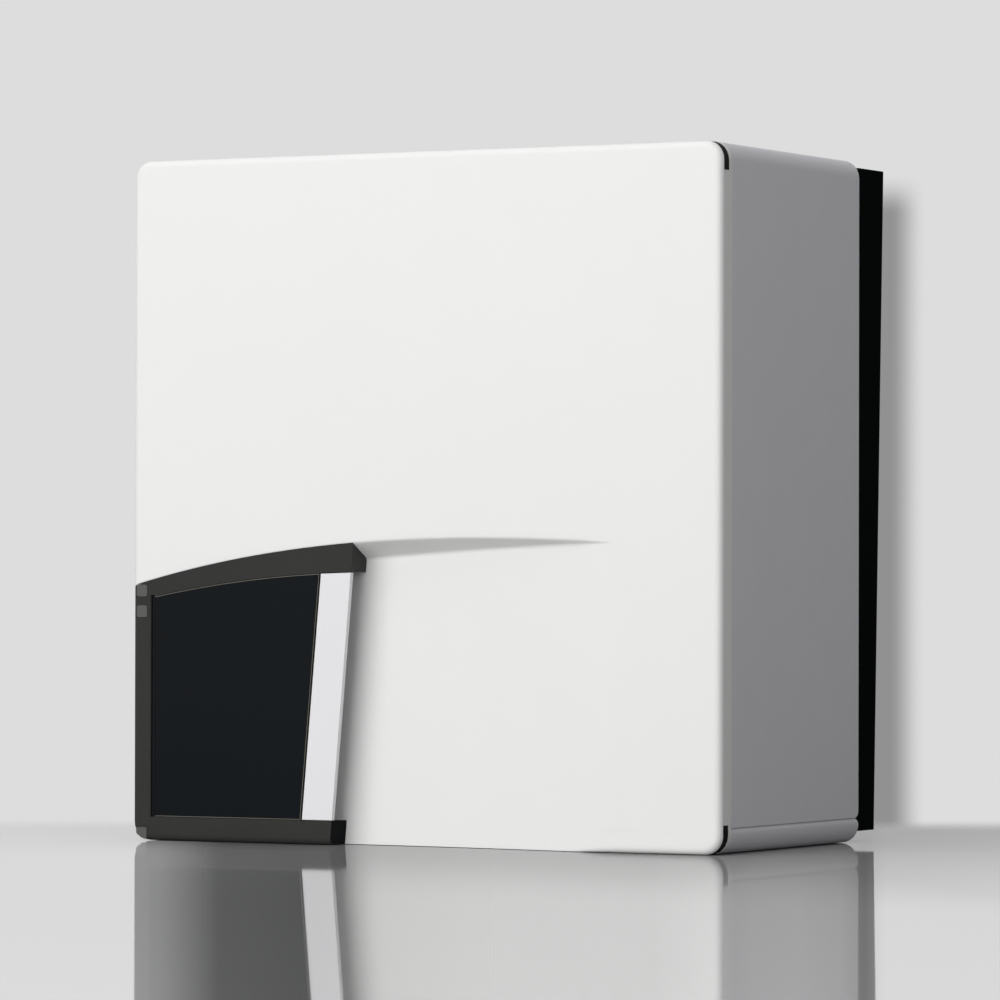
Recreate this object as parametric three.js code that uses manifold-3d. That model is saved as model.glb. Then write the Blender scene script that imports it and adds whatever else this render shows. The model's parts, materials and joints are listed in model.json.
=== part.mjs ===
// A wall-hung combi boiler: a moulded front cover with a hinged flap over the controls,
// a folded steel casing, a black wall frame, and the gas and water parts that they enclose.
// Sizes are millimetres. X runs to the right, Y to the back and Z up. Pieces are placed
// from the front plane (y = 0); the finished group is moved back so that its origin is
// the middle of the footprint.
import * as THREE from 'three';
import Module from 'manifold-3d';
import { mergeVertices } from 'three/addons/utils/BufferGeometryUtils.js';

const wasm = await Module();
wasm.setup();

// Driving dimensions of the outside
const width = 675;
const height = 700;
const casingDepth = 321;      // front plane to the back of the casing
const frameDepth = 61;        // black frame between the casing and the wall
const coverDepth = 24;        // rim of the front cover, back to the seam
const fit = 0.3;              // gap between pieces that seat on each other
const cornerRadius = 19;      // corners seen from the front
const faceRound = 7;          // rounding from the front face into the rim
const coverWall = 3;
const sheet = 2;              // casing and tray sheet
const trayHeight = 25.6;      // parting line of the bottom tray
const lipDepth = 36;          // the cover's lower lip ends here and the tray floor starts
const panelRound = 8;         // lower rear corner of the side walls

// The arc over the flap: its height and slope where it leaves the left side and at its tip
const arc = {
  left: -width / 2, leftHeight: 262.2, leftSlope: 0.278,
  tip: 209, tipHeight: 307.1, tipSlope: -0.052,
};
const scoop = { depth: 31.5, start: -90, taper: 1.8, ledgeSlope: 0.48, innerRound: 3, columns: 18 };

// Surround, flap and grip
const bandWidth = 22.2;       // left band of the surround
const lowerBand = 24.2;       // height of the lower band
const bandCurve = { crest: -55, crestHeight: 276.5, fall: 0.000386 };
const gripLine = { x: -78.5, z: 279, lean: 0.086 };   // right edge of the grip and surround
const gripWidth = 35;
const gripThickness = 6;
const flap = {
  thickness: 6.6, skin: 3, gap: 0.6, trim: 0.8, shadowGap: 1.8,
  carrierRim: 16, pinRadius: 1, pinReach: 11, hingeGap: 0.5,
};
const bandChamfer = 0.8;      // lets the flap swing past a right angle
const insert = { from: 6, to: 17.4, leg: 10, thickness: 1.5 };
const hingeCap = { size: 12.5, thickness: 1.6, high: 256.8, middle: 235.5, low: 7.1 };

// Wall frame and hanging rail
const frameInset = { low: 10.5, high: 0.5 };   // the frame narrows towards its foot
const frameBottom = 11;
const frameTop = height - 8;
const frameWall = 3;
const frameBar = 46;
const rail = { width: 420, height: 42, thickness: 3, top: height - 60, hook: 12 };

// Control panel behind the flap
const fascia = { front: 38, wall: 3, left: 11.5 - width / 2, right: -121, bottom: 5, top: 250 };
const controlBoxDepth = 78;
const display = { x: 109.5 - width / 2, z: 196, width: 96, height: 44 };
const button = { radius: 8, travel: 1.6, proud: 3.4, stem: 4, gap: 0.4 };
const buttonRow = { z: 146, x: display.x, pitch: 32, count: 4 };
const rocker = { x: 155.5 - width / 2, z: 68, width: 20, height: 30, proud: 2.2 };
const gauge = { x: 73.5 - width / 2, z: 78, radius: 24, depth: 26, wall: 2.2, needle: 17 };

// Gas side: heat exchanger, burner hood, fan, gas valve and flue
const flue = {
  x: width / 2 - 67.5, y: casingDepth - 131, bore: 37, wall: 3, collarHeight: 30, collarRim: 6,
};
const airInlet = { x: width / 2 - 207.5, y: flue.y, bore: flue.bore };
const exchanger = {
  left: 42, right: flue.x - flue.bore - flue.wall - 8, front: 90, back: casingDepth - 35,
  bottom: 236, top: height - 110, fins: 8, finDepth: 7,
};
const hoodHeight = 44;
const fan = { x: -32, y: 140, radius: 76, height: 52, wall: 3, eye: 27, impellerRadius: 52, blades: 8 };
const outlet = { width: 46, wall: 3 };
const motor = { radius: 42, height: 44 };
const venturi = { length: 58, throat: 17, mouth: 26, wall: 3 };
const gasValve = { width: 62, depth: 74, height: 82 };
const sumpHeight = 40;
const siphon = { x: 90, y: casingDepth - 171, radius: 27, height: 96, drain: 10.5 };

// Water side: pump, vessel, plate exchanger, valves and tails
const tails = {
  y: casingDepth - 89, z: 1, height: 46, radius: 13.5, bore: 9.5,
  pitch: 66, first: -112, nutRadius: 19, nutHeight: 13,
};
const block = { height: 34, depth: 62, bottom: 47.3 };
const pump = { x: 176, y: tails.y - 10, radius: 44, depth: 46, bore: 27, motorRadius: 38, motorDepth: 62 };
const vessel = { x: 161.5 - width / 2, z: height - 226, radius: 145, depth: 92, rim: 5 };
const plates = { x: -44, width: 60, height: 176, depth: 40, ribs: 5 };
const valve = { size: 38, actuator: 52 };

// ---- Materials ----

function finish(color, roughness, metalness = 0) {
  return new THREE.MeshStandardMaterial({ color, roughness, metalness });
}

const whiteCoat = finish(0xeeeeec, 0.5);
const greyCoat = finish(0xdcdcdd, 0.5);
const blackCoat = finish(0x0d1010, 0.45);
const darkPlastic = finish(0x3a3a39, 0.6);
const blackPlastic = finish(0x191a1b, 0.5);
const smokedPane = finish(0x1c2023, 0.08);
const whitePlastic = finish(0xe6e6e4, 0.45);
const capPlastic = finish(0x5c5c5b, 0.4);
const bluePlastic = finish(0x3c556e, 0.5);
const clearLens = finish(0x6d7f70, 0.1);
const brushed = finish(0xb9bcbe, 0.35, 1);
const bright = finish(0xd8dadb, 0.15, 1);
const castMetal = finish(0x9da1a4, 0.5, 1);
const brass = finish(0xb8964e, 0.35, 1);
const copper = finish(0xb87452, 0.35, 1);
const redCoat = finish(0xa32620, 0.4);
const circuitGreen = finish(0x24553a, 0.6);

// ---- Solids ----

// Volume inside the faces, negative where they point inwards
function enclosed(points, corners) {
  const at = (corner) => new THREE.Vector3().fromArray(points, corner * 3);
  let sum = 0;
  for (let i = 0; i < corners.length; i += 3) {
    sum += at(corners[i]).dot(at(corners[i + 1]).cross(at(corners[i + 2])));
  }
  return sum / 6;
}

function solidOf(geometry) {
  const bare = geometry.index ? geometry.clone() : geometry;
  bare.deleteAttribute('normal');
  bare.deleteAttribute('uv');
  const merged = mergeVertices(bare, 1e-4);
  const corners = merged.index.array;
  const kept = [];
  for (let i = 0; i < corners.length; i += 3) {
    const [a, b, c] = [corners[i], corners[i + 1], corners[i + 2]];
    if (a !== b && b !== c && c !== a) kept.push(a, b, c);
  }
  const points = merged.attributes.position.array;
  if (enclosed(points, kept) < 0) kept.reverse();
  return new wasm.Manifold(new wasm.Mesh({
    numProp: 3,
    vertProperties: new Float32Array(points),
    triVerts: new Uint32Array(kept),
  }));
}

function geometryOf(solid) {
  const mesh = solid.getMesh();
  const geometry = new THREE.BufferGeometry();
  geometry.setAttribute('position', new THREE.BufferAttribute(new Float32Array(mesh.vertProperties), 3));
  geometry.setIndex(new THREE.BufferAttribute(new Uint32Array(mesh.triVerts), 1));
  geometry.computeVertexNormals();
  return geometry;
}

function join(first, ...others) {
  return others.reduce((sum, other) => sum.add(other), first);
}

function cut(first, ...others) {
  return others.reduce((rest, other) => rest.subtract(other), first);
}

function common(first, ...others) {
  return others.reduce((shared, other) => shared.intersect(other), first);
}

// An outline in X and Z, extruded from y0 to y1
function prismY(shape, y0, y1, curveSegments = 8) {
  const geometry = new THREE.ExtrudeGeometry(shape, { depth: y1 - y0, bevelEnabled: false, curveSegments });
  geometry.rotateX(Math.PI / 2);
  geometry.translate(0, y1, 0);
  return solidOf(geometry);
}

// An outline in X and Y, extruded from z0 to z1
function prismZ(shape, z0, z1, curveSegments = 8) {
  const geometry = new THREE.ExtrudeGeometry(shape, { depth: z1 - z0, bevelEnabled: false, curveSegments });
  geometry.translate(0, 0, z0);
  return solidOf(geometry);
}

// An outline in Y and Z, extruded from x0 to x1
function prismX(shape, x0, x1, curveSegments = 8) {
  const geometry = new THREE.ExtrudeGeometry(shape, { depth: x1 - x0, bevelEnabled: false, curveSegments });
  const turn = new THREE.Matrix4().makeBasis(
    new THREE.Vector3(0, 1, 0), new THREE.Vector3(0, 0, 1), new THREE.Vector3(1, 0, 0));
  geometry.applyMatrix4(turn);
  geometry.translate(x0, 0, 0);
  return solidOf(geometry);
}

function block3(x0, x1, y0, y1, z0, z1) {
  const geometry = new THREE.BoxGeometry(x1 - x0, y1 - y0, z1 - z0);
  geometry.translate((x0 + x1) / 2, (y0 + y1) / 2, (z0 + z1) / 2);
  return solidOf(geometry);
}

function rectangle(x0, x1, z0, z1, radius = 0) {
  const shape = new THREE.Shape();
  if (radius === 0) {
    shape.moveTo(x0, z0).lineTo(x1, z0).lineTo(x1, z1).lineTo(x0, z1).closePath();
    return shape;
  }
  shape.moveTo(x0 + radius, z0).lineTo(x1 - radius, z0);
  shape.absarc(x1 - radius, z0 + radius, radius, -Math.PI / 2, 0, false);
  shape.lineTo(x1, z1 - radius).absarc(x1 - radius, z1 - radius, radius, 0, Math.PI / 2, false);
  shape.lineTo(x0 + radius, z1).absarc(x0 + radius, z1 - radius, radius, Math.PI / 2, Math.PI, false);
  shape.lineTo(x0, z0 + radius).absarc(x0 + radius, z0 + radius, radius, Math.PI, 1.5 * Math.PI, false);
  return shape;
}

function outline(points) {
  return new THREE.Shape(points.map(([a, b]) => new THREE.Vector2(a, b)));
}

// A profile of [radius, height] pairs turned about the Z axis at (x, y); it starts and ends
// on the axis, or comes back to its first point where the piece has a bore.
function turned(profile, x, y, segments = 24) {
  const points = profile.map(([radius, height]) => new THREE.Vector2(radius, height));
  const geometry = new THREE.LatheGeometry(points, segments);
  geometry.rotateX(Math.PI / 2);
  geometry.translate(x, y, 0);
  const solid = solidOf(geometry);
  return solid;
}

// The same profile, its heights measured towards the back along Y from y = 0
function turnedY(profile, x, z, segments = 24) {
  const points = profile.map(([radius, depth]) => new THREE.Vector2(radius, depth));
  const geometry = new THREE.LatheGeometry(points, segments);
  geometry.translate(x, 0, z);
  return solidOf(geometry);
}

function rod(radius, x, y, z0, z1, segments = 20) {
  return turned([[0, z0], [radius, z0], [radius, z1], [0, z1]], x, y, segments);
}

function rodY(radius, x, z, y0, y1, segments = 20) {
  return turnedY([[0, y0], [radius, y0], [radius, y1], [0, y1]], x, z, segments);
}

function sleeve(outer, inner, x, y, z0, z1, segments = 24) {
  return turned([[inner, z0], [outer, z0], [outer, z1], [inner, z1], [inner, z0]], x, y, segments);
}

function sleeveY(outer, inner, x, z, y0, y1, segments = 24) {
  return turnedY([[inner, y0], [outer, y0], [outer, y1], [inner, y1], [inner, y0]], x, z, segments);
}

// A closed body through rings of equal length, its two ends closed about their middles
function loft(rings) {
  const count = rings[0].length;
  const positions = rings.flat().flatMap((point) => point);
  const index = [];
  for (let r = 0; r + 1 < rings.length; r += 1) {
    for (let i = 0; i < count; i += 1) {
      const a = r * count + i;
      const b = r * count + (i + 1) % count;
      index.push(a, b, b + count, a, b + count, a + count);
    }
  }
  [rings[0], rings[rings.length - 1]].forEach((ring, end) => {
    const middle = positions.length / 3;
    const base = end * (rings.length - 1) * count;
    for (let axis = 0; axis < 3; axis += 1) {
      positions.push(ring.reduce((sum, point) => sum + point[axis], 0) / count);
    }
    for (let i = 0; i < count; i += 1) {
      const next = (i + 1) % count;
      if (end === 0) index.push(base + next, base + i, middle);
      else index.push(base + i, base + next, middle);
    }
  });
  const geometry = new THREE.BufferGeometry();
  geometry.setAttribute('position', new THREE.Float32BufferAttribute(positions, 3));
  geometry.setIndex(index);
  return solidOf(geometry);
}

// A round bar through straight runs with rounded bends, swept without twist
function bentBar(points, radius, bend, sides = 8) {
  const corners = points.map((point) => new THREE.Vector3(...point));
  const stations = [corners[0]];
  for (let i = 1; i + 1 < corners.length; i += 1) {
    const start = corners[i].clone().sub(corners[i].clone().sub(corners[i - 1]).setLength(bend));
    const end = corners[i].clone().add(corners[i + 1].clone().sub(corners[i]).setLength(bend));
    stations.push(...new THREE.QuadraticBezierCurve3(start, corners[i], end).getPoints(3));
  }
  stations.push(corners[corners.length - 1]);
  const direction = stations[1].clone().sub(stations[0]).normalize();
  const across = new THREE.Vector3(0.31, 0.57, 0.76).cross(direction).normalize();
  const rings = stations.map((station, i) => {
    const before = stations[Math.max(0, i - 1)];
    const after = stations[Math.min(stations.length - 1, i + 1)];
    const next = after.clone().sub(before).normalize();
    across.applyQuaternion(new THREE.Quaternion().setFromUnitVectors(direction, next));
    direction.copy(next);
    const up = direction.clone().cross(across);
    return Array.from({ length: sides }, (_, side) => {
      const angle = 2 * Math.PI * side / sides;
      return station.clone().addScaledVector(across, radius * Math.cos(angle))
        .addScaledVector(up, radius * Math.sin(angle)).toArray();
    });
  });
  return loft(rings);
}

const boiler = new THREE.Group();
const assembly = new THREE.Group();
assembly.position.y = -(casingDepth + frameDepth) / 2;
boiler.add(assembly);

function add(name, solid, material) {
  const mesh = new THREE.Mesh(geometryOf(solid), material);
  mesh.name = name;
  assembly.add(mesh);
  return mesh;
}

// ---- Curves of the front ----

const halfWidth = width / 2;

// Height of the arc at x, from the end heights and slopes
function arcHeight(x) {
  const span = arc.tip - arc.left;
  const t = (x - arc.left) / span;
  const heights = (2 * t ** 3 - 3 * t ** 2 + 1) * arc.leftHeight + (3 * t ** 2 - 2 * t ** 3) * arc.tipHeight;
  const slopes = (t ** 3 - 2 * t ** 2 + t) * arc.leftSlope + (t ** 3 - t ** 2) * arc.tipSlope;
  return heights + span * slopes;
}

// Depth of the scoop at x: full on the left, running out at the tip of the arc
function scoopDepth(x) {
  const t = Math.min(1, Math.max(0, (x - scoop.start) / (arc.tip - scoop.start)));
  return scoop.depth * (1 - t ** scoop.taper);
}

// Lower edge of the surround's upper band
function bandHeight(x) {
  return bandCurve.crestHeight - bandCurve.fall * (x - bandCurve.crest) ** 2;
}

// The slanted line of the grip's right edge, which the surround's ends follow
function gripEdge(z) {
  return gripLine.x + gripLine.lean * (z - gripLine.z);
}

// A rounded outline as a ring of points at one depth, for lofts
function frontRing(inset, radius, y, arcSteps = 6) {
  const ring = [];
  const right = halfWidth - inset;
  const low = inset;
  const high = height - inset;
  const centres = [[right - radius, low + radius, -90], [right - radius, high - radius, 0],
    [radius - right, high - radius, 90], [radius - right, low + radius, 180]];
  centres.forEach(([cx, cz, start]) => {
    for (let i = 0; i <= arcSteps; i += 1) {
      const angle = THREE.MathUtils.degToRad(start + 90 * i / arcSteps);
      ring.push([cx + radius * Math.cos(angle), y, cz + radius * Math.sin(angle)]);
    }
  });
  return ring.reverse();
}

// The rounded front block, offset inwards by wall, from its face back to the given depth
function frontBlock(wall, depth, roundSteps = 4) {
  const round = faceRound - wall * 0.6;
  const rings = [];
  for (let i = 0; i <= roundSteps; i += 1) {
    const angle = Math.PI / 2 * i / roundSteps;
    const inset = wall + round * (1 - Math.sin(angle));
    const y = wall + round * (1 - Math.cos(angle));
    rings.push(frontRing(inset, Math.max(2, cornerRadius - inset), y));
  }
  rings.push(frontRing(wall, cornerRadius - wall, depth));
  return loft(rings.reverse());
}

// The hollow below the arc, as a body from in front of the face back to the recessed surface.
// Its upper side is the ledge, which slants down towards the back with a rounded inner corner.
function scoopBody(grow, lift, x0, x1, depthAt = scoopDepth) {
  const rings = [];
  const front = -5;
  for (let i = 0; i <= scoop.columns; i += 1) {
    const x = x0 + (x1 - x0) * i / scoop.columns;
    const depth = depthAt(x) + grow;
    const top = (y) => arcHeight(Math.min(x, arc.tip)) + lift - scoop.ledgeSlope * y;
    const round = Math.min(scoop.innerRound, Math.max(0.2, depth * 0.4));
    const ring = [[x, front, front], [x, front, top(front)]];
    const bendStart = new THREE.Vector2(depth - round, top(depth - round));
    const bendEnd = new THREE.Vector2(depth, top(depth) - round);
    const bend = new THREE.QuadraticBezierCurve(bendStart, new THREE.Vector2(depth, top(depth)), bendEnd);
    bend.getPoints(3).forEach((point) => ring.push([x, point.x, point.y]));
    ring.push([x, depth, front]);
    rings.push(ring);
  }
  return loft(rings);
}

// ---- Front cover ----

const windowEdgeGap = 11;                       // the window ends this far behind the grip's left edge
function windowEdge(z) {
  return gripEdge(z) - gripWidth - windowEdgeGap;
}
const windowSide = (side, top = height) => outline(side < 0
  ? [[-width, -10], [windowEdge(-10), -10], [windowEdge(top), top], [-width, top]]
  : [[windowEdge(-10), -10], [width, -10], [width, top], [windowEdge(top), top]]);

function cornerBoxes(reach) {
  const corners = [];
  [-1, 1].forEach((sideX) => [0, 1].forEach((upper) => {
    const x0 = sideX < 0 ? -halfWidth - 1 : halfWidth - reach;
    const z0 = upper ? height - reach : -1;
    corners.push({ sideX, upper, x0, x1: x0 + reach + 1, z0, z1: z0 + reach + 1 });
  }));
  return corners;
}

function outlinePrism(inset, y0, y1, arcSteps = 6) {
  return loft([y1, y0].map((y) => frontRing(inset, cornerRadius - inset, y, arcSteps)));
}

function frontCover() {
  const shell = cut(frontBlock(0, coverDepth - fit), frontBlock(coverWall, coverDepth + 5));
  const lip = common(
    outlinePrism(0, coverWall, lipDepth - fit),
    block3(windowEdge(0), halfWidth - cornerRadius - fit, coverWall - 1, lipDepth, -1, coverWall));
  const shellDepth = (x) => scoopDepth(x) - (x > arc.tip ? 0.5 : 0);
  const recessWall = common(
    scoopBody(coverWall, coverWall, windowEdge(0) - 30, arc.tip + 14, shellDepth),
    outlinePrism(sheet + fit, 0.5, lipDepth + 10));
  const grooves = cornerBoxes(cornerRadius + insert.leg).map((corner) => common(
    cut(outlinePrism(-2, insert.from, insert.to), outlinePrism(insert.thickness + fit, 0, coverDepth + 2)),
    block3(corner.x0, corner.x1, 0, coverDepth, corner.z0, corner.z1)));
  const openLeft = join(
    common(scoopBody(60, 0, -halfWidth - 20, windowEdge(0) + 40, () => scoop.depth),
      prismY(windowSide(-1), -6, coverDepth + 90)),
    scoopBody(0, 0, -halfWidth - 20, arc.tip));
  const body = cut(join(shell, lip, recessWall), openLeft, ...grooves);
  return body;
}

add('front_cover', frontCover(), whiteCoat);

cornerBoxes(cornerRadius + insert.leg - fit).forEach((corner) => {
  const strip = common(
    cut(outlinePrism(0, insert.from + fit, insert.to - fit), outlinePrism(insert.thickness, 0, coverDepth)),
    block3(corner.x0, corner.x1, 0, coverDepth, corner.z0, corner.z1));
  const place = `${corner.upper ? 'upper' : 'lower'}_${corner.sideX < 0 ? 'left' : 'right'}`;
  if (corner.upper || corner.sideX > 0) add(`corner_insert_${place}`, strip, blackPlastic);
});

// ---- Surround of the flap ----

const bandInner = -halfWidth + bandWidth;       // right edge of the left band
const hinge = { x: bandInner + flap.hingeGap + flap.thickness / 2, y: flap.thickness / 2 };
const skinLeft = hinge.x + flap.pinRadius + 3 * fit;   // left edge of the smoked skin

// The opening between the bands, or a plate that fits in it when shrunk
function openingShape(shrink, left, rightAt) {
  const shape = new THREE.Shape();
  const steps = 14;
  const low = lowerBand + shrink;
  const cornerX = rightAt(bandHeight(bandCurve.crest));
  shape.moveTo(left, low).lineTo(rightAt(low), low);
  for (let i = 0; i <= steps; i += 1) {
    const x = cornerX + (left - cornerX) * i / steps;
    shape.lineTo(x, bandHeight(x) - shrink);
  }
  return shape.closePath();
}

function bands(y0, y1) {
  const reach = outline([[-halfWidth - 5, -5], [gripEdge(-5), -5], [gripEdge(arc.tipHeight), arc.tipHeight],
    [-halfWidth - 5, arc.tipHeight]]);
  return cut(prismY(reach, y0, y1), prismY(openingShape(0, bandInner, () => 0), y0 - 1, y1 + 1));
}

function surround() {
  const front = common(
    bands(-1, scoop.depth + 5),
    scoopBody(-fit, -fit, -halfWidth - 2, 0),
    frontBlock(0, scoop.depth + 5));
  const back = common(
    bands(scoop.depth - 2, lipDepth - fit),
    outlinePrism(0, 0, lipDepth),
    scoopBody(lipDepth, -fit, -halfWidth - 2, 0),
    prismY(windowSide(-1, arc.tipHeight), 0, lipDepth));
  const pastSeam = cut(
    outlinePrism(-5, coverDepth - fit, lipDepth + 5),
    outlinePrism(sheet + fit, 0, lipDepth + 9));
  const behindLeft = cut(pastSeam, block3(-halfWidth + cornerRadius, 0, 0, lipDepth, -9, sheet + fit + 1));
  const chamfer = prismZ(outline([[bandInner + 1, -1], [bandInner - bandChamfer - 1, -1],
    [bandInner + 1, bandChamfer + 1]]), lowerBand, bandHeight(hinge.x));
  const swingTop = bandHeight(hinge.x + flap.thickness);
  const swingRelief = block3(bandInner, skinLeft + flap.gap, -1, flap.skin + fit, swingTop - 5, swingTop);
  const windowGap = prismY(windowSide(1, arc.tipHeight), scoop.depth - fit, lipDepth);
  const capSeats = [hingeCap.high, hingeCap.middle, hingeCap.low].map((z) => block3(
    bandInner - bandWidth / 2 - hingeCap.size / 2 - fit,
      bandInner - bandWidth / 2 + hingeCap.size / 2 + fit,
    -1, hingeCap.thickness + fit, z - hingeCap.size / 2 - fit, z + hingeCap.size / 2 + fit));
  const pinHoles = [lowerBand - flap.pinReach, bandHeight(hinge.x) - 3].map((z) => rod(
    flap.pinRadius + fit, hinge.x, hinge.y, z, z + flap.pinReach + 3, 8));
  const body = cut(join(front, back), behindLeft, chamfer, swingRelief, windowGap, ...capSeats,
    ...pinHoles);
  return body;
}

add('flap_surround', surround(), darkPlastic);

Object.entries({ high: hingeCap.high, middle: hingeCap.middle,
  low: hingeCap.low }).forEach(([place, z]) => {
  const middle = bandInner - bandWidth / 2;
  const cap = prismY(rectangle(middle - hingeCap.size / 2, middle + hingeCap.size / 2,
    z - hingeCap.size / 2, z + hingeCap.size / 2, 1.5), fit / 3, hingeCap.thickness, 1);
  add(`hinge_cap_${place}`, common(cap, outlinePrism(2 * fit, -1, lipDepth, 4)), capPlastic);
});

// ---- Flap: smoked skin and bright trim on a carrier, with the grip along its right edge ----

const gripLeft = (z) => gripEdge(z) - gripWidth;
const skinRight = (z) => gripLeft(z) - flap.shadowGap;
const gripTop = bandHeight(gripEdge(bandCurve.crestHeight)) - flap.gap;
const plateBack = flap.thickness;
const plateFront = flap.skin + fit;

function carrier() {
  const right = (z) => gripEdge(z) - gripThickness / 2 - fit;
  const plate = prismY(openingShape(flap.gap, hinge.x - 1, right), plateFront, plateBack);
  const rimRight = (z) => skinRight(z) - flap.carrierRim;
  const look = prismY(openingShape(flap.carrierRim, hinge.x + flap.carrierRim, rimRight), plateFront - 1,
    plateBack + 1);
  const low = lowerBand + flap.gap;
  const high = bandHeight(hinge.x - flap.thickness / 2) - flap.gap;
  const barrel = rod(flap.thickness / 2, hinge.x, hinge.y, low, high, 16);
  const bores = [low - 1, high - flap.pinReach].map((z) => rod(flap.pinRadius + fit, hinge.x, hinge.y, z,
    z + flap.pinReach + 1, 8));
  const skinSeat = block3(skinLeft - fit, 0, -1, plateFront, low - 1, height / 2);
  return cut(join(cut(barrel, skinSeat), cut(plate, look)), ...bores);
}

add('flap_carrier', carrier(), blackPlastic);

const trimOuter = prismY(openingShape(flap.gap, skinLeft, skinRight), fit / 2, flap.skin);
const trimInner = prismY(
  openingShape(flap.gap + flap.trim, skinLeft - 5, (z) => skinRight(z) - flap.trim),
  -1,
  flap.thickness);
add('flap_trim', cut(trimOuter, trimInner), bright);
const paneShape = openingShape(flap.gap + flap.trim + fit, skinLeft, (z) => skinRight(z) - flap.trim - fit);
add('flap_pane', prismY(paneShape, fit / 2, flap.skin), smokedPane);

function grip() {
  const low = lowerBand + flap.gap;
  const face = new THREE.Shape();
  face.moveTo(gripLeft(low), low).lineTo(gripEdge(low), low).lineTo(gripEdge(gripTop), gripTop);
  face.lineTo(gripLeft(gripTop), bandHeight(gripLeft(gripTop)) - flap.gap).closePath();
  const plate = prismY(face, fit / 2, flap.skin);
  const edge = common(prismY(face, flap.skin - 0.5, gripThickness), prismY(outline([
    [gripEdge(low) - gripThickness / 2, low], [gripEdge(low), low],
    [gripEdge(gripTop), gripTop], [gripEdge(gripTop) - gripThickness / 2, gripTop]]), 0, gripThickness));
  return join(plate, edge);
}

add('flap_grip', grip(), whitePlastic);

const pinSpans = {
  lower: [lowerBand - flap.pinReach + fit, lowerBand + flap.gap + flap.pinReach - fit],
  upper: [bandHeight(hinge.x) - flap.pinReach - flap.gap + fit, bandHeight(hinge.x) + flap.pinReach - 3],
};
Object.entries(pinSpans).forEach(([place, [z0, z1]]) => {
  add(`flap_hinge_pin_${place}`, rod(flap.pinRadius, hinge.x, hinge.y, z0, z1, 8), bright);
});

// ---- Casing, tray and wall frame ----

// Section of the folded casing and tray in X and Z, seen from the front
function wrapSection(inset, low, high) {
  const section = outlinePrism(inset, coverDepth, casingDepth);
  return common(section, block3(-width, width, coverDepth, casingDepth, low, high));
}

function casing() {
  const low = trayHeight + fit;
  const wrap = cut(wrapSection(0, low, height), wrapSection(sheet, low - 5, height));
  const backReturn = cut(
    common(wrapSection(0, low, height),
      block3(-width, width, casingDepth - sheet, casingDepth, low, height)),
    block3(-halfWidth + 18, halfWidth - 18, 0, casingDepth + 5, low - 5, height - 18));
  const rearLine = casingDepth - panelRound;
  const roundTop = low + panelRound;
  const roundEdge = new THREE.Shape().absarc(rearLine, roundTop, panelRound, 0, 2 * Math.PI, false);
  const notch = (side) => cut(
    block3(side * halfWidth - 4, side * halfWidth + 4, rearLine, casingDepth + 2, low - 2, roundTop),
    prismX(roundEdge, side * halfWidth - 5, side * halfWidth + 5, 10));
  const portRadius = flue.bore + flue.wall + fit;
  const ports = [flue, airInlet].map((port) => rod(portRadius, port.x, port.y, height - 9, height + 3, 16));
  return cut(join(wrap, backReturn), notch(-1), notch(1), ...ports);
}

add('casing', casing(), greyCoat);

const tailX = [0, 1, 2, 3, 4].map((i) => tails.first + i * tails.pitch);
const tailNames = ['heating_flow', 'hot_water', 'gas', 'cold_water', 'heating_return'];
const gland = { x: 57.5 - halfWidth, y: casingDepth - 141, radius: 9 };

function tray() {
  const sides = cut(wrapSection(0, 0, trayHeight), wrapSection(sheet, -5, trayHeight + 5));
  const floor = common(wrapSection(0, 0, sheet), block3(-width, width, lipDepth, casingDepth, -1, sheet));
  const curbBack = casingDepth - 3 * sheet;
  const curb = cut(
    common(wrapSection(0, 0, trayHeight),
      block3(-width, width, lipDepth, curbBack, trayHeight - sheet, trayHeight)),
    block3(-halfWidth + 9, halfWidth - 9, 0, casingDepth + 5, 0, height));
  const rearWall = common(wrapSection(0, 0, trayHeight),
    block3(-width, width, casingDepth - sheet, casingDepth, 0, trayHeight - 8));
  const frontOpen = block3(-halfWidth + cornerRadius, halfWidth - cornerRadius, 0, lipDepth, -1, sheet + 1);
  const rearLine = casingDepth - panelRound;
  const roundLow = trayHeight - panelRound;
  const roundEdge = new THREE.Shape().absarc(rearLine, roundLow, panelRound, 0, 2 * Math.PI, false);
  const rearRound = [-1, 1].map((side) => cut(
    block3(side * halfWidth - 12, side * halfWidth + 12, rearLine, casingDepth + 2, roundLow,
      trayHeight + 2),
    prismX(roundEdge, side * halfWidth - 13, side * halfWidth + 13, 10)));
  const holes = tailX.map((x) => rod(tails.radius + 1.5, x, tails.y, -2, sheet + 2, 12));
  const drainHole = rod(siphon.drain + 2.5, siphon.x, siphon.y, -2, sheet + 2, 16);
  const glandHole = rod(gland.radius + fit, gland.x, gland.y, -2, sheet + 2, 16);
  return cut(join(sides, floor, curb, rearWall), frontOpen, ...rearRound, ...holes, drainHole, glandHole);
}

add('bottom_tray', tray(), greyCoat);

// Half the width of the frame at a height, and its outline shrunk by an inset
function frameSide(z) {
  const share = (z - frameBottom) / (frameTop - frameBottom);
  return halfWidth - frameInset.low - (frameInset.high - frameInset.low) * share;
}

function frameShape(inset) {
  const low = frameBottom + inset;
  const high = frameTop - inset;
  const lowX = frameSide(low) - inset;
  const highX = frameSide(high) - inset;
  return outline([[-lowX, low], [lowX, low], [highX, high], [-highX, high]]);
}

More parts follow.
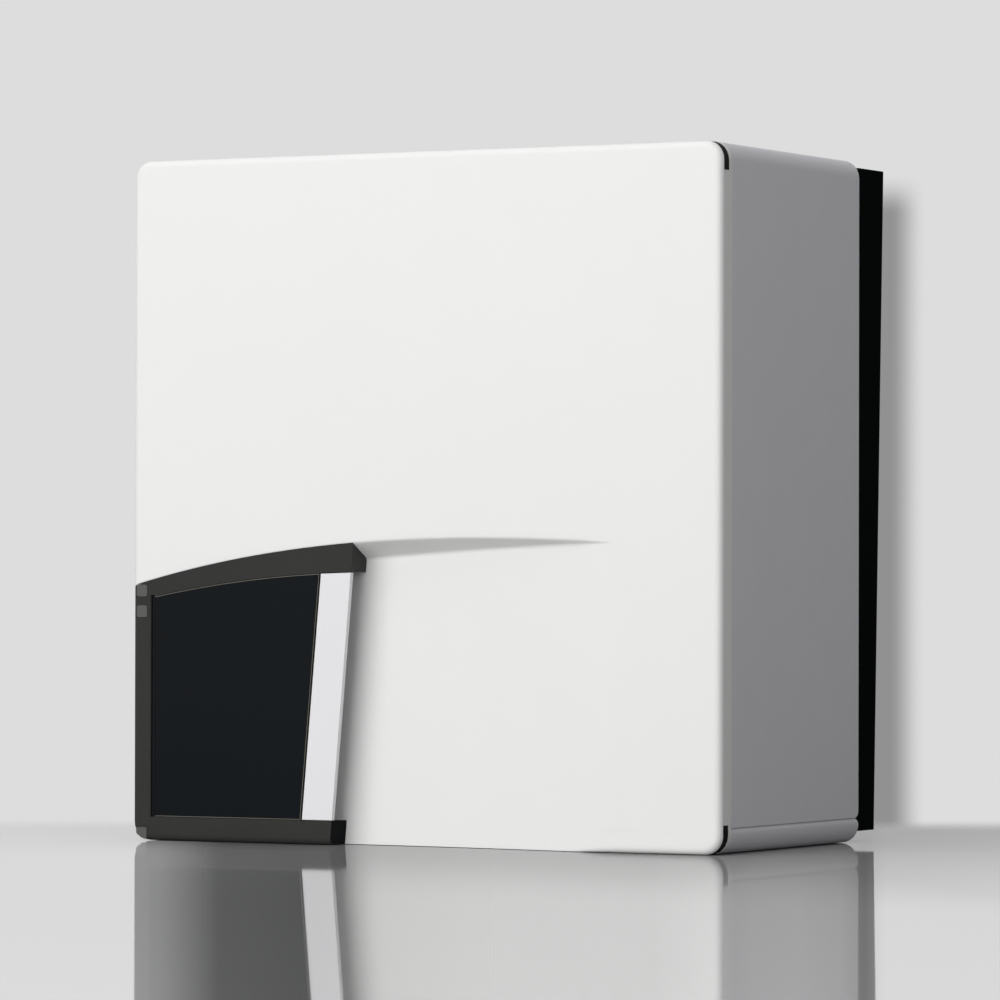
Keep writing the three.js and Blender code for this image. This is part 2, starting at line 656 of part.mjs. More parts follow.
function wallFrame() {
  const y0 = casingDepth + fit;
  const y1 = casingDepth + frameDepth;
  const outer = prismY(frameShape(0), y0, y1);
  const opening = prismY(frameShape(frameBar), y0 - 2, y1 + 2);
  const channel = cut(
    prismY(frameShape(frameWall), y0 + frameWall, y1 + 2),
    prismY(frameShape(frameBar - frameWall), y0, y1 + 3));
  const bossPlaces = [frameBottom + frameBar / 2, frameTop - frameBar / 2].flatMap(
    (z) => [-1, 1].map((side) => [side * (frameSide(z) - frameBar / 2), z]));
  const bosses = bossPlaces.map(([x, z]) => rodY(13, x, z, y0 + 1, y1, 12));
  const screwHoles = bossPlaces.map(([x, z]) => rodY(4.5, x, z, y0 - 2, y1 + 2, 8));
  return cut(join(cut(outer, opening, channel), ...bosses), ...screwHoles);
}

add('wall_frame', wallFrame(), blackCoat);

const panelBack = casingDepth - sheet - fit;
const ribFront = panelBack - sheet - 5;
const ribPitch = 190;

function rearPanel() {
  const back = panelBack;
  const side = halfWidth - sheet - fit;
  const panel = prismY(rectangle(-side, side, sheet + fit, height - sheet - fit,
    cornerRadius - sheet - fit),
    back - sheet, back, 4);
  const ribs = [-1, 0, 1].map((i) => prismX(outline([
    [back - sheet + 0.4, 60], [ribFront, 68], [ribFront, height - 68], [back - sheet + 0.4, height - 60]]),
    i * ribPitch - 9, i * ribPitch + 9));
  return join(panel, ...ribs, hangerStrip());
}

function hangingRail() {
  const wallFace = casingDepth + frameDepth;
  const low = rail.top - rail.height;
  const face = wallFace - rail.thickness;
  const section = outline([[face, low], [wallFace, low], [wallFace, rail.top - rail.hook],
    [wallFace - rail.hook, rail.top], [face - rail.hook, rail.top], [face, rail.top - rail.hook - 1]]);
  const bar = prismX(section, -rail.width / 2, rail.width / 2);
  const slots = [-0.4, 0, 0.4].map((share) => prismY(rectangle(
    share * rail.width - 11, share * rail.width + 11, low + 8, low + 17, 4.4), wallFace - 9,
      wallFace + 2, 2));
  return cut(bar, ...slots);
}

add('hanging_rail', hangingRail(), brushed);

// Strip welded to the rear panel, whose lip drops behind the rail
function hangerStrip() {
  const front = casingDepth - sheet - 2 * fit;
  const back = casingDepth + frameDepth - rail.thickness - fit;
  const top = rail.top + rail.thickness + fit;
  const leg = front + rail.thickness;
  const section = outline([[front, top - 30], [front, top], [back, top], [back, rail.top - rail.hook / 3],
    [back - rail.thickness, rail.top - rail.hook / 3], [back - rail.thickness, top - rail.thickness],
    [leg, top - rail.thickness], [leg, top - 30]]);
  return prismX(section, -rail.width / 2 + 10, rail.width / 2 - 10);
}

add('rear_panel', rearPanel(), brushed);

// ---- Control panel behind the flap ----

const fasciaBack = fascia.front + fascia.wall;
const rockerAxis = fascia.front + 3;
const buttonX = Array.from({ length: buttonRow.count }, (_, i) => (
  buttonRow.x + (i - (buttonRow.count - 1) / 2) * buttonRow.pitch));

function controlFascia() {
  const plate = prismY(rectangle(fascia.left, fascia.right, fascia.bottom, fascia.top, 8), fascia.front,
    fasciaBack, 2);
  const frame = prismY(rectangle(display.x - display.width / 2 - 5, display.x + display.width / 2 + 5,
    display.z - display.height / 2 - 5, display.z + display.height / 2 + 5, 5), fascia.front - 1,
      fasciaBack - 1, 2);
  const lensSeat = prismY(rectangle(display.x - display.width / 2 - fit,
    display.x + display.width / 2 + fit,
    display.z - display.height / 2 - fit, display.z + display.height / 2 + fit, 3 + fit), 0,
      fascia.front + 1.2, 2);
  const lensHole = prismY(rectangle(display.x - display.width / 2 + 5, display.x + display.width / 2 - 5,
    display.z - display.height / 2 + 5, display.z + display.height / 2 - 5, 1), 0, fasciaBack + 2, 1);
  const buttonHoles = buttonX.map((x) => rodY(button.radius + button.gap, x, buttonRow.z, 0,
    fasciaBack + 2, 12));
  const well = { wall: 1.6, back: fasciaBack + 11 };
  const wellShape = (grow) => rectangle(rocker.x - rocker.width / 2 - grow,
    rocker.x + rocker.width / 2 + grow,
    rocker.z - rocker.height / 2 - grow, rocker.z + rocker.height / 2 + grow);
  const wellShell = join(prismY(wellShape(0), fascia.front, well.back),
    prismY(wellShape(2.5), fascia.front - 1.2, fasciaBack));
  const wellRoom = prismY(wellShape(-well.wall), 0, well.back - 2);
  const shaftHole = prismX(new THREE.Shape().absarc(rockerAxis, rocker.z, 1.5 + fit, 0, 2 * Math.PI, false),
    rocker.x - rocker.width / 2 + 0.8, rocker.x + rocker.width / 2 - 0.8, 6);
  const gaugeHole = rodY(gauge.radius + fit, gauge.x, gauge.z, 0, fasciaBack + 2, 16);
  return cut(join(plate, frame, wellShell), lensSeat, lensHole, ...buttonHoles, wellRoom, shaftHole,
    gaugeHole);
}

add('control_fascia', controlFascia(), darkPlastic);

add('display_lens', prismY(rectangle(display.x - display.width / 2, display.x + display.width / 2,
  display.z - display.height / 2, display.z + display.height / 2, 3), fascia.front - 1,
    fascia.front + 1.2 - fit, 2),
clearLens);

const boardFront = fasciaBack + 8;
const boardBack = boardFront + 1.6;

// A cap with a crowned face, a flange that keeps it behind the fascia, and a stem towards its switch
buttonX.forEach((x, i) => {
  const face = fascia.front - button.proud;
  const profile = [[0, face], [button.radius * 0.8, face + 0.5],
    [button.radius, face + 1.8], [button.radius, fasciaBack + fit], [button.radius + 1.6, fasciaBack + fit],
    [button.radius + 1.6, fasciaBack + fit + 1.4], [button.stem, fasciaBack + fit + 1.4],
    [button.stem, boardFront - button.travel - 2 * fit], [0, boardFront - button.travel - 2 * fit]];
  add(`button_${i + 1}`, turnedY(profile, x, buttonRow.z, 12), whitePlastic);
});

// The mains switch: a rocker with two slanted faces on a cross shaft, in a well of the fascia
function rockerBody() {
  const top = rocker.z + rocker.height / 2 - 2.4;
  const low = rocker.z - rocker.height / 2 + 2.4;
  const face = fascia.front - rocker.proud;
  const section = outline([[face + 1.8, low], [face - 0.4, low + 2], [rockerAxis - 4.4, rocker.z],
    [face - 0.4, top - 2],
    [face + 1.8, top], [rockerAxis + 4, rocker.z + 7], [rockerAxis + 4, rocker.z - 7]]);
  const body = prismX(section, rocker.x - rocker.width / 2 + 2, rocker.x + rocker.width / 2 - 2);
  const shaft = prismX(new THREE.Shape().absarc(rockerAxis, rocker.z, 1.5, 0, 2 * Math.PI, false),
    rocker.x - rocker.width / 2 + 1.1, rocker.x + rocker.width / 2 - 1.1, 6);
  return join(body, shaft);
}

add('mains_rocker', rockerBody(), blackPlastic);

const dialBack = fascia.front + 6;

// Pressure gauge: a cup with a rim and its dial, the needle and the window
function gaugeCup() {
  const front = fascia.front - 2;
  const back = front + gauge.depth;
  const dial = sleeveY(gauge.radius - gauge.wall + 0.5, 1.2, gauge.x, gauge.z, dialBack, dialBack + 1.2,
    16);
  const cup = turnedY([[0, back], [gauge.radius, back], [gauge.radius, fascia.front - fit],
    [gauge.radius + 3, fascia.front - fit],
    [gauge.radius + 3, front + 0.8], [gauge.radius + 2, front], [gauge.radius - gauge.wall, front],
    [gauge.radius - gauge.wall, back - gauge.wall], [0, back - gauge.wall]], gauge.x, gauge.z, 16);
  return join(cup, dial);
}

const gaugeInner = gauge.radius - gauge.wall;
add('gauge_cup', gaugeCup(), blackPlastic);
add('gauge_window', rodY(gaugeInner - fit, gauge.x, gauge.z, fascia.front - 1.2, fascia.front + 0.4, 16),
  clearLens);

function gaugeNeedle() {
  const pointer = prismY(outline([[gauge.x - 1, gauge.z - 5], [gauge.x + 1, gauge.z - 5],
    [gauge.x + 0.35, gauge.z + gauge.needle], [gauge.x - 0.35, gauge.z + gauge.needle]]), dialBack - 2.4,
      dialBack - 1.6);
  const hub = turnedY([[0, dialBack - 3.2], [2.2, dialBack - 2.6], [2.4, dialBack - 1.2],
    [0.9, dialBack - 1.2],
    [0.9, fascia.front - 2 + gauge.depth - gauge.wall - fit],
      [0, fascia.front - 2 + gauge.depth - gauge.wall - fit]],
  gauge.x, gauge.z, 12);
  return join(pointer, hub);
}

add('gauge_needle', gaugeNeedle(), redCoat);

// Open box behind the fascia, and the board inside it
function controlBox() {
  const front = fasciaBack + fit;
  const back = front + controlBoxDepth;
  const shell = prismY(rectangle(fascia.left + 3, fascia.right - 3, fascia.bottom + 3, fascia.top - 3,
    6), front, back, 2);
  const hollow = prismY(rectangle(fascia.left + 5.5, fascia.right - 5.5, fascia.bottom + 5.5,
    fascia.top - 5.5, 4),
    front - 1, back - 2.5, 2);
  const ribs = [0.25, 0.5, 0.75].map((share) => {
    const z = fascia.bottom + share * (fascia.top - fascia.bottom);
    return block3(fascia.left + 5, fascia.right - 5, back - 8, back - 2, z - 1, z + 1);
  });
  const feet = [fascia.left + 20, fascia.right - 30].map((x) => block3(
    x, x + 10, front + 12, back - 10, sheet + fit, fascia.bottom + 4));
  const cableHole = rodY(gland.radius, gland.x, 30, back - 9, back + 3, 12);
  return cut(join(cut(shell, hollow), ...ribs, ...feet), cableHole);
}

add('control_box', controlBox(), blackPlastic);

function board() {
  const left = fascia.left + 5.5 + 2 * fit;
  const right = fascia.right - 5.5 - 2 * fit;
  const low = fascia.top - 138;
  const high = fascia.top - 5.5 - 2 * fit;
  const plate = prismY(rectangle(left, right, low, high, 4), boardFront, boardBack, 2);
  const chipSpots = [[20, high - 19, 18, 12], [170, high - 24, 24, 16], [52, low + 13, 26, 9],
    [150, low + 16, 14, 14]];
  const chips = chipSpots.map(([shift, z, w, h]) => {
    const x = left + shift;
    return block3(x - w / 2, x + w / 2, boardBack - 0.5, boardBack + 12, z - h / 2, z + h / 2);
  });
  const module = block3(display.x - display.width / 2 + 8, display.x + display.width / 2 - 8,
    fasciaBack + fit,
    boardFront + 0.5, display.z - display.height / 2 + 4, display.z + display.height / 2 - 4);
  return join(plate, module, ...chips);
}

add('control_board', board(), circuitGreen);

// Cable inlet through the tray floor
add('cable_gland', turned([[4.5, 0.6], [gland.radius - 0.5, 0.6], [gland.radius - 0.5, sheet + fit],
  [gland.radius + 3.5, sheet + fit], [gland.radius + 3.5, sheet + 4], [7, sheet + 12], [4.5, sheet + 12],
    [4.5, 0.6]],
gland.x, gland.y, 12), blackPlastic);

// ---- Gas side ----

const hx = exchanger;
const hxMiddle = (hx.left + hx.right) / 2;
const hoodTop = hx.top + fit + hoodHeight;
const neckFace = hx.left - 6;

// Cast body with upright cooling ribs on its front and a flange round its top
function exchangerBody() {
  const body = prismZ(rectangle(hx.left, hx.right, hx.front + hx.finDepth, hx.back, 14), hx.bottom,
    hx.top, 3);
  const pitch = (hx.right - hx.left - 30) / (hx.fins - 1);
  const fins = Array.from({ length: hx.fins }, (_, i) => {
    const x = hx.left + 15 + i * pitch;
    return prismX(outline([[hx.front + hx.finDepth + 1, hx.bottom + 8], [hx.front, hx.bottom + 22],
      [hx.front, hx.top - 40],
      [hx.front + hx.finDepth + 1, hx.top - 26]]), x - 2, x + 2);
  });
  const flange = prismZ(rectangle(hx.left - 4, hx.right + 4, hx.front, hx.back + 4, 10), hx.top - 10,
    hx.top, 2);
  const burnerWell = prismZ(rectangle(hx.left + 14, hx.right - 14, hx.front + 22, hx.back - 14, 8),
    hx.top - 60, hx.top + 2, 2);
  const lugs = [-50, 50].map((shift) => block3(hxMiddle + shift - 12, hxMiddle + shift + 12, hx.back - 1,
    ribFront - fit,
    hx.top - 60, hx.top - 30));
  return cut(join(body, flange, ...fins, ...lugs), burnerWell);
}

add('heat_exchanger', exchangerBody(), castMetal);

// Domed hood that spreads the mixture over the burner; its inlet neck meets the fan's outlet
function burnerHood() {
  const ring = (inset, z, radius) => {
    const shape = rectangle(hx.left - 4 + inset, hx.right + 4 - inset, hx.front + inset,
      hx.back + 4 - inset, radius);
    return shape.getPoints(2).slice(0, -1).map((point) => [point.x, point.y, z]);
  };
  const z0 = hx.top + fit;
  const outer = join(
    loft([ring(0, z0, 10), ring(0, z0 + 8, 10)]),
    loft([ring(9, z0 + 7.5, 12), ring(9, z0 + 14, 12), ring(20, hoodTop - 6, 12), ring(28, hoodTop, 12)]));
  const inner = loft([ring(16, z0 - 1, 8), ring(13, z0 + 12, 9), ring(25, hoodTop - 8, 12),
    ring(32, hoodTop - 4, 12)]);
  const neckLow = z0 + 9;
  const neckHigh = z0 + 9 + outlet.width * 0.6;
  const neck = block3(neckFace, hx.left + 26, fan.y - 24, fan.y + 24, neckLow, neckHigh);
  const neckBore = block3(neckFace - 2, hx.left + 30, fan.y - 24 + outlet.wall, fan.y + 24 - outlet.wall,
    neckLow + outlet.wall, neckHigh - outlet.wall);
  const electrode = turned([[0, hoodTop - 2], [5, hoodTop - 2], [5, hoodTop + 15], [7, hoodTop + 15],
    [7, hoodTop + 20],
    [3, hoodTop + 30], [0, hoodTop + 30]], hxMiddle + 44, hx.back - 60, 8);
  const viewingPort = turned([[0, hoodTop - 2], [9, hoodTop - 2], [9, hoodTop + 5], [6, hoodTop + 7],
    [0, hoodTop + 7]],
    hxMiddle - 30, hx.back - 60, 12);
  return cut(join(outer, neck, electrode, viewingPort), inner, neckBore);
}

add('burner_hood', burnerHood(), castMetal);

const neckMiddle = hx.top + fit + 9 + outlet.width * 0.3;
const fanLow = neckMiddle - fan.height / 2;
const fanHigh = neckMiddle + fan.height / 2;
const eyeHeight = fanLow + fan.wall;

// Spiral housing whose outlet runs to the hood
function spiral(offset) {
  const shape = new THREE.Shape();
  const turns = 22;
  for (let i = 0; i <= turns; i += 1) {
    const share = i / turns;
    const angle = -Math.PI / 2 + 2 * Math.PI * share;
    const radius = fan.impellerRadius + 8 + (fan.radius - fan.impellerRadius - 8) * (1 - share) + offset;
    const x = fan.x - radius * Math.cos(angle);
    const y = fan.y + radius * Math.sin(angle);
    if (i === 0) shape.moveTo(x, y);
    else shape.lineTo(x, y);
  }
  return shape.closePath();
}

function fanHousing() {
  const outerBox = prismZ(spiral(0), fanLow, fanHigh, 1);
  const innerBox = prismZ(spiral(-fan.wall), fanLow + fan.wall, fanHigh + 2, 1);
  const duct = block3(fan.x + 20, neckFace - fit, fan.y - 24, fan.y + 24, neckMiddle - 14, neckMiddle + 14);
  const ductBore = block3(fan.x + 20, neckFace + 1, fan.y - 24 + outlet.wall, fan.y + 24 - outlet.wall,
    neckMiddle - 14 + outlet.wall, neckMiddle + 14 - outlet.wall);
  const eye = rod(fan.eye, fan.x, fan.y, fanLow - 2, fanLow + fan.wall + 2, 18);
  return cut(join(outerBox, duct), innerBox, ductBore, eye);
}

add('fan_housing', fanHousing(), castMetal);

const motorBase = fanHigh + fit;
const shaftRadius = 4;

function fanMotor() {
  const lid = prismZ(spiral(0), motorBase, motorBase + 3, 1);
  const can = turned([[0, motorBase + 2], [motor.radius, motorBase + 2],
    [motor.radius, motorBase + motor.height - 6],
    [motor.radius - 5, motorBase + motor.height], [0, motorBase + motor.height]], fan.x, fan.y, 18);
  const vents = Array.from({ length: 6 }, (_, i) => {
    const angle = 2 * Math.PI * i / 6;
    return block3(fan.x - 1.6 + 24 * Math.cos(angle), fan.x + 1.6 + 24 * Math.cos(angle),
      fan.y - 1.6 + 24 * Math.sin(angle), fan.y + 1.6 + 24 * Math.sin(angle), motorBase + motor.height - 4,
      motorBase + motor.height + 2);
  });
  const shaftBore = rod(shaftRadius + fit, fan.x, fan.y, motorBase - 2, motorBase + 22, 12);
  return cut(join(lid, can), shaftBore, ...vents);
}

add('fan_motor', fanMotor(), blackPlastic);

// Backplate, curved blades, front ring and shaft in one turning piece
function impeller() {
  const top = fanHigh - 4;
  const low = eyeHeight + 2;
  const plate = rod(fan.impellerRadius, fan.x, fan.y, top - 2.5, top, 18);
  const shroud = turned([[fan.eye + 3, low], [fan.impellerRadius, low + 8], [fan.impellerRadius, low + 10],
    [fan.eye + 3, low + 2], [fan.eye + 3, low]], fan.x, fan.y, 18);
  const hub = turned([[0, top - 22], [9, top - 18], [14, top - 1], [shaftRadius, top - 1],
    [shaftRadius, motorBase + 20],
    [0, motorBase + 20]], fan.x, fan.y, 12);
  const blades = Array.from({ length: fan.blades }, (_, i) => {
    const start = 2 * Math.PI * i / fan.blades;
    const edge = [];
    const back = [];
    for (let step = 0; step <= 2; step += 1) {
      const radius = fan.eye + 3.5 + (fan.impellerRadius - fan.eye - 4) * step / 2;
      const angle = start - 0.5 * (step / 2) ** 1.3;
      const thick = 1.1 / radius;
      edge.push([fan.x + radius * Math.cos(angle - thick), fan.y + radius * Math.sin(angle - thick)]);
      back.unshift([fan.x + radius * Math.cos(angle + thick), fan.y + radius * Math.sin(angle + thick)]);
    }
    return prismZ(outline([...edge, ...back]), low + 1, top - 1);
  });
  const bladeZone = turned([[fan.eye + 3, low + 0.5], [fan.impellerRadius - 0.2, low + 8.5],
    [fan.impellerRadius - 0.2, top - 0.5], [fan.eye + 3, top - 0.5], [fan.eye + 3, low + 0.5]], fan.x,
      fan.y, 18);
  return join(plate, shroud, hub, common(join(...blades), bladeZone));
}

add('fan_impeller', impeller(), blackPlastic);

// Venturi below the eye: flange, waisted throat and flared mouth
const venturiTop = fanLow - fit;
const venturiLow = venturiTop - venturi.length;
add('venturi', turned([[fan.eye - 2, venturiTop], [fan.eye + 12, venturiTop],
  [fan.eye + 12, venturiTop - 5],
  [fan.eye + 1, venturiTop - 5], [venturi.throat + venturi.wall, venturiTop - 18],
  [venturi.throat + venturi.wall, venturiTop - 40], [venturi.mouth + venturi.wall, venturiLow],
  [venturi.mouth, venturiLow], [venturi.throat, venturiTop - 40], [venturi.throat, venturiTop - 18],
  [fan.eye - 2, venturiTop]], fan.x, fan.y, 14), castMetal);

// Gas valve in front of the venturi, with its two coils and adjusting cap
const valveSeat = venturi.throat + venturi.wall + 2 * fit;
const valveZ = venturiTop - 29;
const gasX = tailX[2];

function gasValveBody() {
  const y1 = fan.y - venturi.mouth - venturi.wall - 4 * fit;
  const body = prismZ(rectangle(fan.x - gasValve.width / 2, fan.x + gasValve.width / 2,
    y1 - gasValve.depth, y1, 5),
    valveZ - gasValve.height * 0.62, valveZ + gasValve.height * 0.2, 4);
  const coils = [-0.22, 0.22].map((share) => rodY(11, fan.x + share * gasValve.width, valveZ - 2,
    y1 - gasValve.depth - 20, y1 - gasValve.depth + 1, 12));
  const spout = rodY(8, fan.x, valveZ, y1 - 2, fan.y - valveSeat, 12);
  const feet = rod(12, fan.x, y1 - gasValve.depth / 2, valveZ - gasValve.height * 0.62 - 8,
    valveZ - gasValve.height * 0.62 + 1, 6);
  return { solid: join(body, spout, feet, ...coils), inletZ: valveZ - gasValve.height * 0.62 - 8,
    inletY: y1 - gasValve.depth / 2 };
}

const gasValvePiece = gasValveBody();
add('gas_valve', gasValvePiece.solid, castMetal);
add('gas_pipe', bentBar([[fan.x, gasValvePiece.inletY, gasValvePiece.inletZ - fit],
  [fan.x, gasValvePiece.inletY, tails.height + 190], [gasX, tails.y, tails.height + 190],
  [gasX, tails.y, tails.z + tails.height - 8]], tails.bore - 3 * fit, 20), brass);

// Exhaust: sump under the exchanger, trap below it, and the pipe up to the collar
const sumpTop = hx.bottom - fit;
const sumpLow = sumpTop - sumpHeight;

function sump() {
  const slab = prismZ(rectangle(hx.left, flue.x + flue.bore + flue.wall + 2, hx.front + 8, hx.back, 14),
    sumpTop - 14, sumpTop, 3);
  const ring = (inset, z) => rectangle(hx.left + inset, hx.right + 30 - inset, hx.front + 8 + inset,
    hx.back - inset, 12)
      .getPoints(2).slice(0, -1).map((point) => [point.x, point.y, z]);
  const bowl = loft([ring(2, sumpTop - 13), ring(14, sumpLow)]);
  const spout = rod(12, siphon.x, siphon.y, sumpLow - 8, sumpLow + 1, 14);
  const socket = rod(flue.bore + flue.wall + fit, flue.x, flue.y, sumpTop - 8, sumpTop + 2, 18);
  return cut(join(slab, bowl, spout), socket);
}

add('condensate_sump', sump(), blackPlastic);

const collarLow = height - flue.collarHeight;
add('flue_pipe', sleeve(flue.bore + flue.wall, flue.bore, flue.x, flue.y, sumpTop - 8 + fit,
  collarLow - fit, 18), whitePlastic);

function collar(port) {
  const outer = port.bore + flue.wall;
  return turned([[port.bore + 1.4, collarLow], [outer, collarLow], [outer, height - sheet - fit - 3],
    [outer + flue.collarRim, height - sheet - fit - 3], [outer + flue.collarRim, height - sheet - fit],
    [outer, height - sheet - fit], [outer, height - fit], [port.bore + 1.4, height - fit],
    [port.bore + 1.4, collarLow]], port.x, port.y, 16);
}

add('flue_collar', collar(flue), blackPlastic);
add('air_collar', collar(airInlet), blackPlastic);

// Trap with its screw cup, and its drain tail through the tray floor
const trapTop = sumpLow - 8 - fit;
const trapLow = trapTop - siphon.height;
add('condensate_trap', cut(
  join(
    turned([[0, trapTop], [siphon.radius * 0.6, trapTop], [siphon.radius, trapTop - 10],
      [siphon.radius, trapLow + 26],
      [siphon.radius + 3, trapLow + 24], [siphon.radius + 3, trapLow + 10], [siphon.radius - 4, trapLow],
        [0, trapLow]],
    siphon.x, siphon.y, 16),
    rod(siphon.drain, siphon.x, siphon.y, 1, trapLow + 1, 12)),
  rod(siphon.drain - 2.5, siphon.x, siphon.y, 0, trapLow - 5, 12)), bluePlastic);

// ---- Water side ----

// Tails through the tray floor: a bored stub with a hexagon nut
tailX.forEach((x, i) => {
  const top = tails.z + tails.height;
  const stub = sleeve(tails.radius, tails.bore, x, tails.y, tails.z, top, 10);
  const nutLow = sheet + fit;
  const nut = cut(rod(tails.nutRadius, x, tails.y, nutLow, nutLow + tails.nutHeight, 6),
    rod(tails.bore, x, tails.y, nutLow - 1, nutLow + tails.nutHeight + 1, 10));
  add(`${tailNames[i]}_tail`, join(stub, nut), brass);
});

const blockTop = block.bottom + block.height;
const hxMiddleY = (hx.front + hx.back) / 2 - 20;
const blockY = [tails.y - block.depth / 2, tails.y + block.depth / 2];

// Flow block over the first two tails and return block over the last two, with bored ways down to them
function waterBlock(first, last, left, right) {
  const body = prismZ(rectangle(tailX[first] - left, tailX[last] + right, blockY[0], blockY[1], 10),
    block.bottom + fit, blockTop, 2);
  const ways = [first, last].map((i) => rod(tails.bore, tailX[i], tails.y, block.bottom - 2,
    block.bottom + 18, 10));
  return cut(body, ...ways);
}

// The flow block carries the diverter valve; the return block its safety valve and pressure sensor
const diverterX = tailX[0] + 10;
const diverterTop = blockTop + valve.size;
add('flow_block', join(
  waterBlock(0, 1, 24, 18),
  block3(diverterX - 16, diverterX + 16, tails.y - 18, tails.y + 18, blockTop - 1, diverterTop - 8),
  rod(15, diverterX, tails.y, diverterTop - 9, diverterTop, 12)), brass);
add('return_block', join(
  waterBlock(3, 4, 24, 42),
  rod(9, tailX[3] - 8, blockY[0] + 14, blockTop - 1, blockTop + 20, 12),
  rod(13, tailX[3] - 8, blockY[0] + 14, blockTop + 19, blockTop + 42, 8),
  rod(7, tailX[3] + 12, blockY[1] - 14, blockTop - 1, blockTop + 14, 6),
  rod(9, tailX[3] + 12, blockY[1] - 14, blockTop + 13, blockTop + 36, 12)), brass);

// Plate heat exchanger for hot tap water on the flow block
function plateExchanger() {
  const low = blockTop + fit;
  const high = low + plates.height;
  const x0 = plates.x - plates.width / 2;
  const x1 = plates.x + plates.width / 2;
  const y1 = blockY[1];
  const y0 = y1 - plates.depth;
  const pitch = (plates.depth - 6) / plates.ribs;
  const core = block3(x0 + 3, x1 - 3, y0, y1, low + 3, high - 3);
  const layers = Array.from({ length: plates.ribs }, (_, i) => prismY(
    rectangle(x0, x1, low, high, 12), y0 + 3 + i * pitch, y0 + 3 + i * pitch + pitch * 0.55, 1));
  return join(core, ...layers);
}

add('plate_exchanger', plateExchanger(), brushed);

// Clip-on actuator of the diverter valve
add('diverter_actuator', join(
  prismZ(rectangle(diverterX - 21, diverterX + 21, tails.y - 24, tails.y + 24, 6), diverterTop + fit,
    diverterTop + fit + valve.actuator, 3),
  prismZ(rectangle(diverterX - 9, diverterX + 9, tails.y - 34, tails.y - 22, 2), diverterTop + fit + 8,
    diverterTop + fit + 26, 2)), blackPlastic);

// Circulation pump: volute on the return block, wheel inside, motor towards the front
const pumpBase = blockTop + fit;
const pumpZ = pumpBase + 8 + pump.radius;
const voluteFront = pump.y - pump.depth / 2;
const voluteBack = pump.y + pump.depth / 2;

function pumpVolute() {
  const shell = rodY(pump.radius, pump.x, pumpZ, voluteFront, voluteBack, 18);
  const chamber = rodY(pump.radius - 6, pump.x, pumpZ, voluteFront - 1, voluteBack - 8, 18);
  const inlet = rod(15, pump.x, pump.y, pumpBase, pumpZ - pump.radius + 5, 12);
  const riser = rodY(16, pump.x, pumpZ, voluteBack - 4, voluteBack + 16, 12);
  const way = rodY(11, pump.x, pumpZ, voluteBack - 10, voluteBack + 17, 12);
  return cut(join(shell, inlet, riser), chamber, way);
}

add('pump_volute', pumpVolute(), castMetal);

function pumpWheel() {
  const back = voluteBack - 8 - 2;
  const disc = rodY(pump.bore, pump.x, pumpZ, back - 12, back - 10, 14);
  const hub = rodY(9, pump.x, pumpZ, back - 12, back - 1, 12);
  const shaft = rodY(4, pump.x, pumpZ, voluteFront - 15, back - 10, 10);
  const vanes = Array.from({ length: 6 }, (_, i) => {
    const angle = i * Math.PI / 3;
    const tip = [pump.bore * Math.cos(angle + 0.5), pump.bore * Math.sin(angle + 0.5)];
    const root = [8 * Math.cos(angle), 8 * Math.sin(angle)];
    const normal = new THREE.Vector2(tip[1] - root[1], root[0] - tip[0]).normalize();
    return prismY(outline([[pump.x + root[0] + normal.x, pumpZ + root[1] + normal.y],
      [pump.x + root[0] - normal.x, pumpZ + root[1] - normal.y],
      [pump.x + tip[0] - normal.x, pumpZ + tip[1] - normal.y],
      [pump.x + tip[0] + normal.x, pumpZ + tip[1] + normal.y]]), back - 11, back - 2);
  });
  return join(disc, hub, shaft, common(join(...vanes), rodY(pump.bore, pump.x, pumpZ, 0, casingDepth, 14)));
}

add('pump_wheel', pumpWheel(), blackPlastic);

function pumpMotor() {
  const back = voluteFront - fit;
  const front = back - pump.motorDepth;
  const can = turnedY([[0, front], [pump.motorRadius - 8, front], [pump.motorRadius - 3, front + 3],
    [pump.motorRadius, front + 10], [pump.motorRadius, back - 5], [pump.radius, back - 5],
      [pump.radius, back],
    [0, back]], pump.x, pumpZ, 18);
  const shaftBore = rodY(4 + fit, pump.x, pumpZ, voluteFront - 17, back + 1, 10);
  const terminal = prismY(rectangle(pump.x - 24, pump.x + 24, pumpZ + pump.motorRadius - 14,
    pumpZ + pump.motorRadius + 20, 5),
    front + 10, back - 12, 3);
  return cut(join(can, terminal), shaftBore);
}

add('pump_motor', pumpMotor(), redCoat);

// Expansion vessel: two pressed halves with a rolled seam, strapped to the rear panel
function expansionVessel() {
  const back = casingDepth - 2 * sheet - fit - 5 - fit;
  const front = back - vessel.depth;
  const seam = back - vessel.depth * 0.5;
  const shell = turnedY([[0, front], [vessel.radius * 0.75, front + 3], [vessel.radius - 8, front + 12],
    [vessel.radius, front + 28], [vessel.radius, seam - 4], [vessel.radius + vessel.rim, seam - 3],
    [vessel.radius + vessel.rim, seam + 3], [vessel.radius, seam + 4], [vessel.radius, back - 18],
    [vessel.radius - 14, back], [0, back]], vessel.x, vessel.z, 18);
  const fillValve = rodY(5, vessel.x + 50, vessel.z + 40, front - 14, front + 6, 8);
  const pipeY = back - vessel.depth * 0.72;
  const low = vessel.z - vessel.radius;
  const union = rod(10, vessel.x + 10, pipeY, low - 22, low + 4, 6);
  const hoseX = tailX[0] - 18;
  const pipe = bentBar([[vessel.x + 10, pipeY, low - 20], [vessel.x + 10, pipeY, low - 59],
    [hoseX, pipeY, low - 101], [hoseX, blockY[0] + 12, low - 124],
      [hoseX, blockY[0] + 12, blockTop + fit]], 5, 12, 6);
  return join(shell, fillValve, union, pipe);
}

add('expansion_vessel', expansionVessel(), redCoat);

